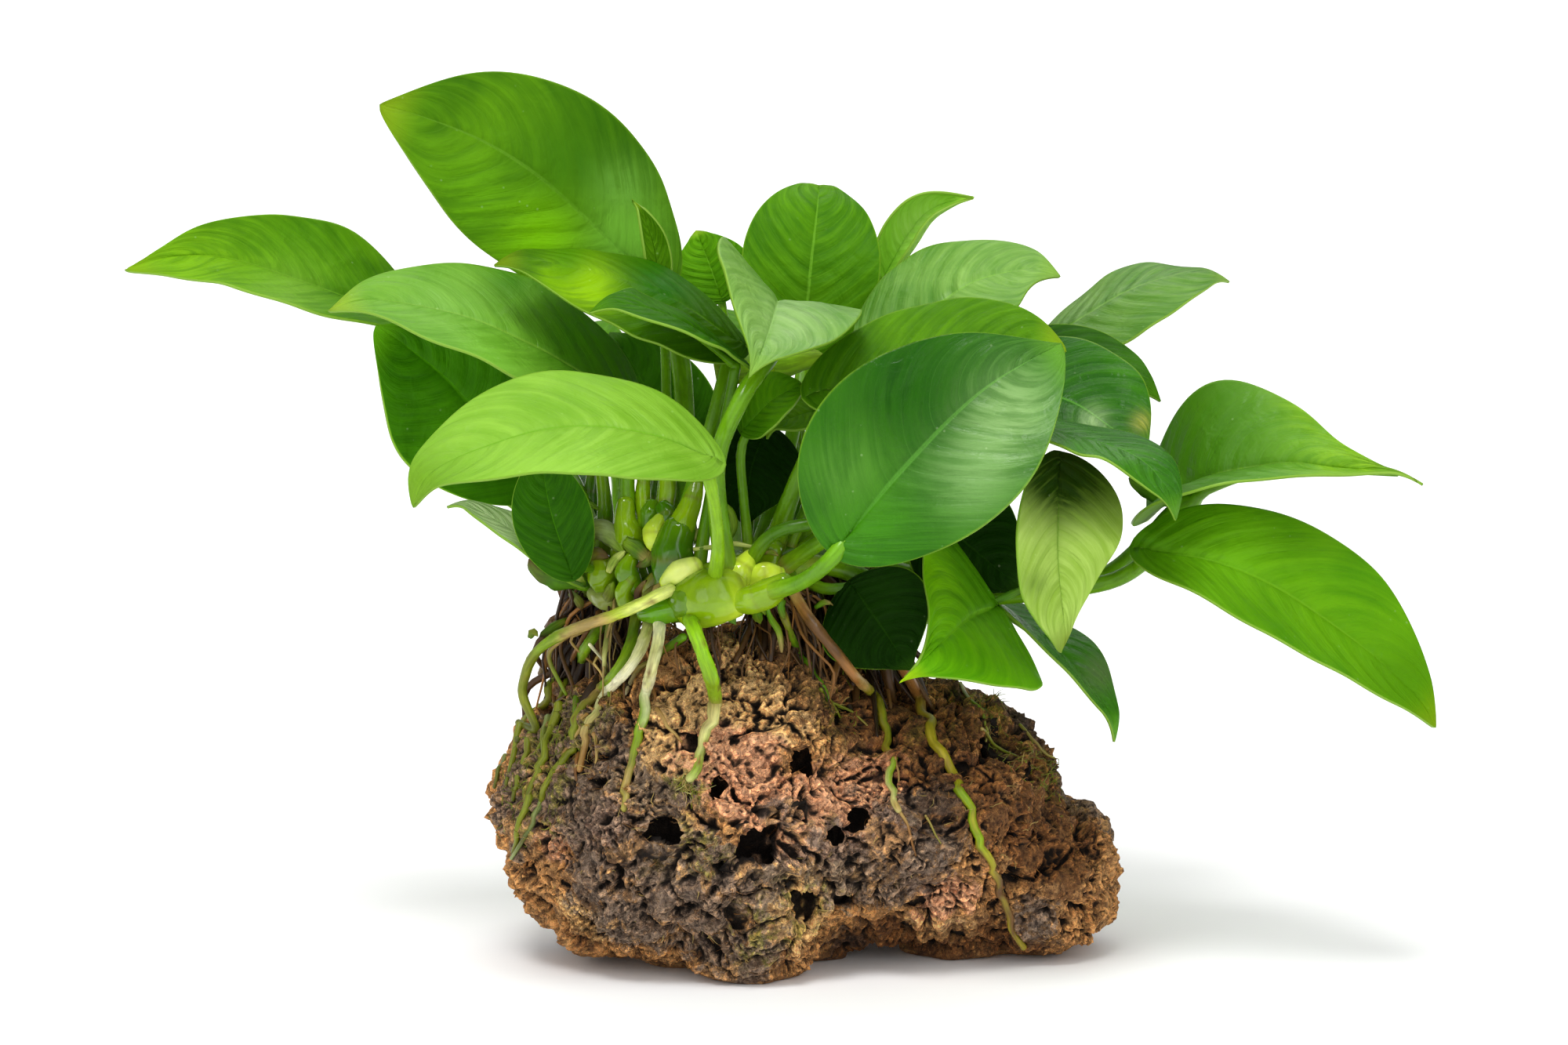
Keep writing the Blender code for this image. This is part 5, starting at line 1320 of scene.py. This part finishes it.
def build_scales():
    """Sheaths, scales and sprouts: small cupped blades with ragged pointed tips."""
    shape, (uv_layer, tint_layer, run_layer) = tube_shape()
    for seed, (places, width, bend_degrees, names) in enumerate(SCALES):
        points = smooth_line([seen_at(*place) for place in places], SCALE_STEP)
        last = len(points) - 1
        bend = math.radians(bend_degrees)
        colours = [COLOURS[name] for name in names.split()]
        made = bmesh.ops.create_grid(shape, x_segments=last, y_segments=SCALE_COLUMNS, size=1)["verts"]
        uvs = {}
        for vertex in made:
            row = round((vertex.co.x + 1) / 2 * last)
            share, aside = row / last, vertex.co.y
            heading = (points[min(row + 1, last)] - points[max(row - 1, 0)]).normalized()
            outward = (-AWAY + heading * AWAY.dot(heading)).normalized()
            side = heading.cross(outward)
            ragged = 1 + 0.25 * noise.noise(Vector((share * 5, aside * 2, seed * 1.9)))
            half = width / 2 * MM * min(1, 0.55 + share) * (1 - share ** 3) ** 0.6 * ragged
            ripple = SCALE_RIPPLE * noise.noise(Vector((share * 4, aside * 2, seed * 4.1)))
            across = side * (math.sin(bend * aside) / bend * half)
            inward = (1 - math.cos(bend * aside)) / bend * half - ripple
            vertex.co = points[row] + across - outward * inward
            blotch = noise.noise(Vector((share * 4, aside * 1.5, seed * 2.3)))
            colour = blend_colours(colours, share + 0.25 * blotch)
            vertex[tint_layer] = (*(colour * (1.05 - 0.25 * aside * aside)), 1)
            vertex[run_layer] = share * last * SCALE_STEP / MM
            uvs[vertex] = (share, (aside + 1) / 4)
        set_uvs({face for vertex in made for face in vertex.link_faces}, uv_layer, uvs)
    bmesh.ops.reverse_faces(shape, faces=shape.faces)
    add_shell(new_piece("sheath_scales", shape, ("sheath",), "rhizome_green"), SCALE_THICKNESS)


def stone_relief(at):
    """How far the stone's skin stands out at a place, in mm: knobs, clefts, torn ridges and pits."""
    p = at / MM
    q = p.copy()
    for scale, reach in STONE_WARPS:
        q += noise.noise_vector(p * scale) * reach
    rugged = 0.25 + 0.85 * eased(noise.noise(p * 0.11 + Vector((4, 1, 9))), -0.25, 0.3)
    height = RELIEF_LEVEL
    for scale, rise, cleft in KNOBS:
        away, _ = noise.voronoi(q * scale + Vector((scale * 17, 3, 8)))
        height += rise * (0.36 - away[0] ** 2)
        open_there = eased(noise.noise(p * 0.2 + Vector((scale * 50, 0, 0))), -0.1, 0.3)
        height -= cleft * (1 - eased(away[1] - away[0], 0.0, CLEFT_WIDTH)) * open_there
    for scale, rise in RIDGES:
        crest = 1 - abs(noise.noise(q * scale + Vector((5, scale * 9, 2)))) * 2.2
        height += rise * (crest * abs(crest) - 0.3) * rugged
    for scale, share, depth in STONE_PITS:
        away, places = noise.voronoi(q * scale + Vector((scale * 31, 5, 2)))
        if noise.cell(places[0] * 13.7) < share:
            width = 0.38 + 0.25 * noise.noise(places[0] * 5)
            height -= depth * (1 - eased(away[0], width * 0.3, width))
    return height


def hollowness(mesh, normals, turns):
    """How far each vertex lies below its smoothed surroundings, in mm."""
    count = len(mesh.vertices)
    places = np.empty(count * 3)
    mesh.vertices.foreach_get("co", places)
    places = places.reshape(-1, 3)
    ends = np.empty(len(mesh.edges) * 2, dtype=np.int64)
    mesh.edges.foreach_get("vertices", ends)
    first, second = ends.reshape(-1, 2).T
    around = np.bincount(ends, minlength=count)
    smooth = places.copy()
    for _ in range(turns):
        for axis in range(3):
            value = smooth[:, axis]
            total = np.bincount(first, value[second], count) + np.bincount(second, value[first], count)
            smooth[:, axis] = (value + total / around) / 2
    return ((smooth - places) * normals).sum(axis=1) / MM


def build_stone():
    """The stone's own solid with a finer skin, which stone_marks then shapes."""
    shape = bmesh.new()
    shape.from_mesh(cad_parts["stone"].data)
    bmesh.ops.remove_doubles(shape, verts=shape.verts, dist=STONE_JOIN)
    stone = new_piece("stone_crust", shape, ("stone",), "lava_rock", "stone")
    fine = stone.modifiers.new("fine", "REMESH")
    fine.mode = "VOXEL"
    fine.voxel_size = STONE_VOXEL
    even = stone.modifiers.new("even", "SMOOTH")
    even.factor = 0.5
    even.iterations = STONE_EVENING
    apply_modifiers(stone)
    stone.data.shade_smooth()
    stone.data.materials.clear()
    stone.data.materials.append(FINISHES["stone"])
    stone_marks(stone)
    return stone


def stone_marks(stone):
    """Displaces the stone's skin and stores its patches, hollows and crests for the finish."""
    mesh = stone.data
    face = face_of(stone)
    patches = {kind: [(on_face(face, across, down), radius * MM) for across, down, radius in places]
               for kind, places in STONE_PATCHES.items()}
    caves = [(on_face(face, across, down), radius * MM, depth) for across, down, radius, depth in CAVES]
    marks = {kind: [] for kind in patches}
    normals = np.array([vertex.normal for vertex in mesh.vertices])
    moves = []
    for vertex in mesh.vertices:
        at = vertex.co
        height = stone_relief(at)
        rough = noise.noise_vector(at * 130) * 2.6 * MM + noise.noise_vector(at * 420) * 1.2 * MM
        for middle, radius, depth in caves:
            away = (at + rough - middle).length / radius
            if away < CAVE_REACH:
                height -= depth * (1 - eased(away, CAVE_FLOOR, CAVE_MOUTH))
        behind = eased(at.y, BACK_START, BACK_FULL)
        for kind, places in patches.items():
            share = 0.0
            for middle, radius in places:
                away = (at - middle).length / radius
                if away < PATCH_REACH:
                    share += math.exp(-away * away)
            start = PATCH_STARTS[kind]
            wild = noise.noise(at * PATCH_SCALE + Vector((start, start, 0))) * PATCH_STRENGTH
            if kind == "crust":
                wild += MORE_CRUST
            marks[kind].append(max(min(1, share), behind * wild))
        settled = eased(at.z, RELIEF_START, RELIEF_FULL)
        move = vertex.normal * (height * MM * settled)
        move.z = max(move.z, min(0, LOWEST_SKIN - at.z))
        moves.append(move)
    for vertex, move in zip(mesh.vertices, moves):
        vertex.co += move
    marks["hollow"] = np.clip(0.5 + hollowness(mesh, normals, HOLLOW_TURNS) / HOLLOW_RANGE, 0, 1)
    marks["crest"] = np.clip(0.5 - hollowness(mesh, normals, CREST_TURNS) / CREST_RANGE, 0, 1)
    for kind, values in marks.items():
        mesh.attributes.new(kind, "FLOAT", "POINT").data.foreach_set("value", values)


def face_of(piece):
    """The surface of a piece, for rays and for the nearest point."""
    bpy.context.view_layer.update()
    return BVHTree.FromObject(piece, bpy.context.evaluated_depsgraph_get())


def on_face(face, across, down):
    """The point of a surface that the front view shows at a pixel, or else the nearest."""
    place = seen_at(across, down, STONE_FRONT)
    point, _, _, _ = face.ray_cast(EYE, (place - EYE).normalized())
    if point is None:
        point, _, _, _ = face.find_nearest(place)
    return point


def root_route(root, face):
    """The root's way: free at first, then over the stone."""
    radius = root.radius * MM
    points = [seen_at(*place) for place in root.air]
    laid = [on_face(face, *place) for place in between(root.stone, ROOT_STEP)]
    for _ in range(ROOT_SMOOTHING):
        threes = zip(laid, laid[1:], laid[2:])
        laid[1:-1] = [(before + point * 2 + after) / 4 for before, point, after in threes]
    for point in laid:
        nearest, normal, _, _ = face.find_nearest(point)
        height = (point - nearest).dot(normal)
        points.append(point + normal * max(0, radius * ROOT_REST - height))
    last = len(points) - 1
    radii = [radius * (1.1 - 0.5 * i / last) for i in range(last + 1)]
    return smooth_route(points, radii, ROOT_PITCH)


def add_root(shape, layers, root, face, seed, sides):
    """Adds a root with knots and brown spots."""
    colours = [COLOURS[name] for name in root.colours.split()]
    route = root_route(root, face)
    length = len(route) * ROOT_PITCH / MM

    def tint_at(share, angle):
        blotch = noise.noise(Vector((share * length * 0.16, angle * 0.4, seed * 3.1)))
        colour = blend_colours(colours, share + blotch * 0.12)
        spot = noise.noise(Vector((share * length * 0.5, angle, seed * 5.7)))
        if spot > SPOT_LEVEL:
            colour = colour.lerp(Vector(COLOURS["brown"]), min(1, (spot - SPOT_LEVEL) * 2.2))
        return colour * (1 + 0.25 * spot)

    def swell(share, angle):
        knots = 0.16 * noise.noise(Vector((share * length * 0.22, 0, seed)))
        round_it = Vector((share * length * 0.8, math.cos(angle) * 2, math.sin(angle) * 2 + seed))
        return knots + 0.12 * noise.noise(round_it)

    sweep_tube(shape, layers, capped(route), sides, tint_at, swell)


def build_roots(face):
    """A skin for each root of the model, and the thin roots as one piece."""
    for seed, root in enumerate(ROOTS):
        shape, layers = tube_shape()
        add_root(shape, layers, root, face, seed + 1, ROOT_SIDES)
        new_piece(root.name + "_skin", finished_tubes(shape), ("root",), "root_olive", root.name)
    shape, layers = tube_shape()
    for seed, row in enumerate(THIN_ROOTS):
        add_root(shape, layers, Root("", *row), face, seed + THIN_ROOT_SEED, THIN_ROOT_SIDES)
    new_piece("thin_roots", finished_tubes(shape), ("root",), "root_olive")


def scattered(picker, spread):
    """A direction picked at random, whose three parts have the given spread."""
    return Vector([picker.gauss(0, spread) for _ in range(3)])


def build_hair(face):
    """Moss and root hair: short curled threads that stand on the stone."""
    whole, _ = tube_shape()
    picker = random.Random(HAIR_SEED)
    for middle, radius, count, length, names in TUFTS:
        shape, layers = tube_shape()
        centre = on_face(face, *middle)
        for _ in range(count):
            spread = scattered(picker, 1) * (radius * MM * 0.6)
            foot, normal, _, _ = face.find_nearest(centre + spread)
            if foot.z < LOWEST_HAIR:
                continue
            colour = Vector(COLOURS[picker.choice(names.split())]) * picker.uniform(0.6, 1.3)
            reach = length * MM * picker.uniform(0.5, 1.5) / HAIR_JOINTS
            lean = Vector((picker.gauss(0, 1), picker.gauss(0, 1), picker.gauss(-0.4, 1)))
            route = [(foot - normal * 0.1 * MM, HAIR_RADIUS)]
            for step in range(HAIR_JOINTS):
                lean += scattered(picker, 0.45)
                lean -= normal * lean.dot(normal) * 0.8
                rise = normal * (0.35 - 0.12 * step)
                heading = (lean.normalized() + rise).normalized()
                route.append((route[-1][0] + heading * reach, HAIR_RADIUS * (1 - step * 0.2)))
            sweep_tube(shape, layers, route, HAIR_SIDES, lambda share, angle: colour)
        add_shape(whole, shape)
    new_piece("moss_hair", finished_tubes(whole), ("root",), "root_olive")


def build_dead_roots_and_shade_fill(face):
    """Dead roots, thin and dark, that run from under the rhizome to the stone, and that also fill
    shaded gaps behind the rhizome as painted shade.
    """
    whole, _ = tube_shape()
    picker = random.Random(TANGLE_SEED)
    for start, end, spread, thickness, count, names in TANGLES:
        shape, layers = tube_shape()
        for _ in range(count):
            head = seen_at(*start) + scattered(picker, spread * MM / 2)
            landing = on_face(face, *end) + scattered(picker, spread * MM / 2) * 2
            foot, normal, _, _ = face.find_nearest(landing)
            points = [head]
            for share in TANGLE_JOINTS:
                sway = scattered(picker, TANGLE_SWAY)
                sag = normal * (math.sin(math.pi * share) * picker.uniform(0, TANGLE_SAG) * MM)
                point = head.lerp(foot, share) + sway + sag
                near, way, _, _ = face.find_nearest(point)
                points.append(point + way * max(0, 0.1 * MM - (point - near).dot(way)))
            points.append(foot - normal * 0.2 * MM)
            thick = picker.uniform(0.5, 1.4) * thickness * MM
            route = smooth_route(points, [thick * share for share in TANGLE_TAPER], TANGLE_STEP)
            colour = Vector(COLOURS[picker.choice(names.split())]) * picker.uniform(0.6, 1.4)
            sweep_tube(shape, layers, capped(route), TANGLE_SIDES, lambda share, angle: colour)
        add_shape(whole, shape)
    new_piece("dead_roots", finished_tubes(whole), ("root",), "root_olive")


def add_shape(whole, part):
    """Adds a bmesh to another that has the same layers, and frees it."""
    mesh = bpy.data.meshes.new("part")
    part.to_mesh(mesh)
    part.free()
    whole.from_mesh(mesh)
    bpy.data.meshes.remove(mesh)


def build_stage():
    floor_shape = bmesh.new()
    bmesh.ops.create_grid(floor_shape, x_segments=1, y_segments=1, size=FLOOR_REACH)
    mesh = bpy.data.meshes.new("floor")
    floor_shape.to_mesh(mesh)
    floor_shape.free()
    floor = bpy.data.objects.new("floor", mesh)
    bpy.context.scene.collection.objects.link(floor)
    f = Finish("floor", 0.9, 0.0)
    mesh.materials.append(f.paint(FLOOR_COLOUR))


def add_light(name, place, power, size):
    """A sun that shines from a place to the middle, as wide as `size` in radians."""
    light = bpy.data.lights.new(name, "SUN")
    light.energy = power
    light.angle = size
    lamp = bpy.data.objects.new(name, light)
    lamp.location = place
    lamp.rotation_euler = Vector(place).to_track_quat("Z", "Y").to_euler()
    bpy.context.scene.collection.objects.link(lamp)


def build_lights():
    """A bright ceiling that darkens towards the walls, a bright horizon, and five soft lights."""
    world = bpy.data.worlds.new("studio")
    world.use_nodes = True
    nodes, links = world.node_tree.nodes, world.node_tree.links
    way = nodes.new("ShaderNodeSeparateXYZ")
    links.new(nodes.new("ShaderNodeTexCoord").outputs["Generated"], way.inputs[0])
    sky = nodes.new("ShaderNodeValToRGB")
    elements = sky.color_ramp.elements
    for height, light in SKY[1:-1]:
        elements.new(height).color = (light, light, light, 1)
    for element, (height, light) in ((elements[0], SKY[0]), (elements[-1], SKY[-1])):
        element.position = height
        element.color = (light, light, light, 1)
    links.new(way.outputs[2], sky.inputs[0])
    links.new(sky.outputs[0], nodes["Background"].inputs["Color"])
    scene = bpy.context.scene
    scene.world = world
    scene.view_settings.view_transform = "Standard"
    for name, way_to, power, size in SUNS:
        add_light(name, way_to, power, math.radians(size))


def build_camera():
    """A camera that frames the plant as the front view does."""
    camera = bpy.data.cameras.new("camera")
    camera.sensor_width = SENSOR_WIDTH
    camera.lens = camera.sensor_width * EYE_DISTANCE / (VIEW_WIDTH * PIXEL)
    camera.clip_end = CLEAR_WAY
    eye = bpy.data.objects.new("camera", camera)
    eye.location = EYE
    eye.rotation_euler = AWAY.to_track_quat("-Z", "Y").to_euler()
    bpy.context.scene.collection.objects.link(eye)
    bpy.context.scene.camera = eye


noise.seed_set(NOISE_SEED)
make_finishes()
build_leaves()
build_rhizome()
build_scales()
stone_face = face_of(build_stone())
build_roots(stone_face)
build_hair(stone_face)
build_dead_roots_and_shade_fill(stone_face)
build_stage()
build_lights()
build_camera()
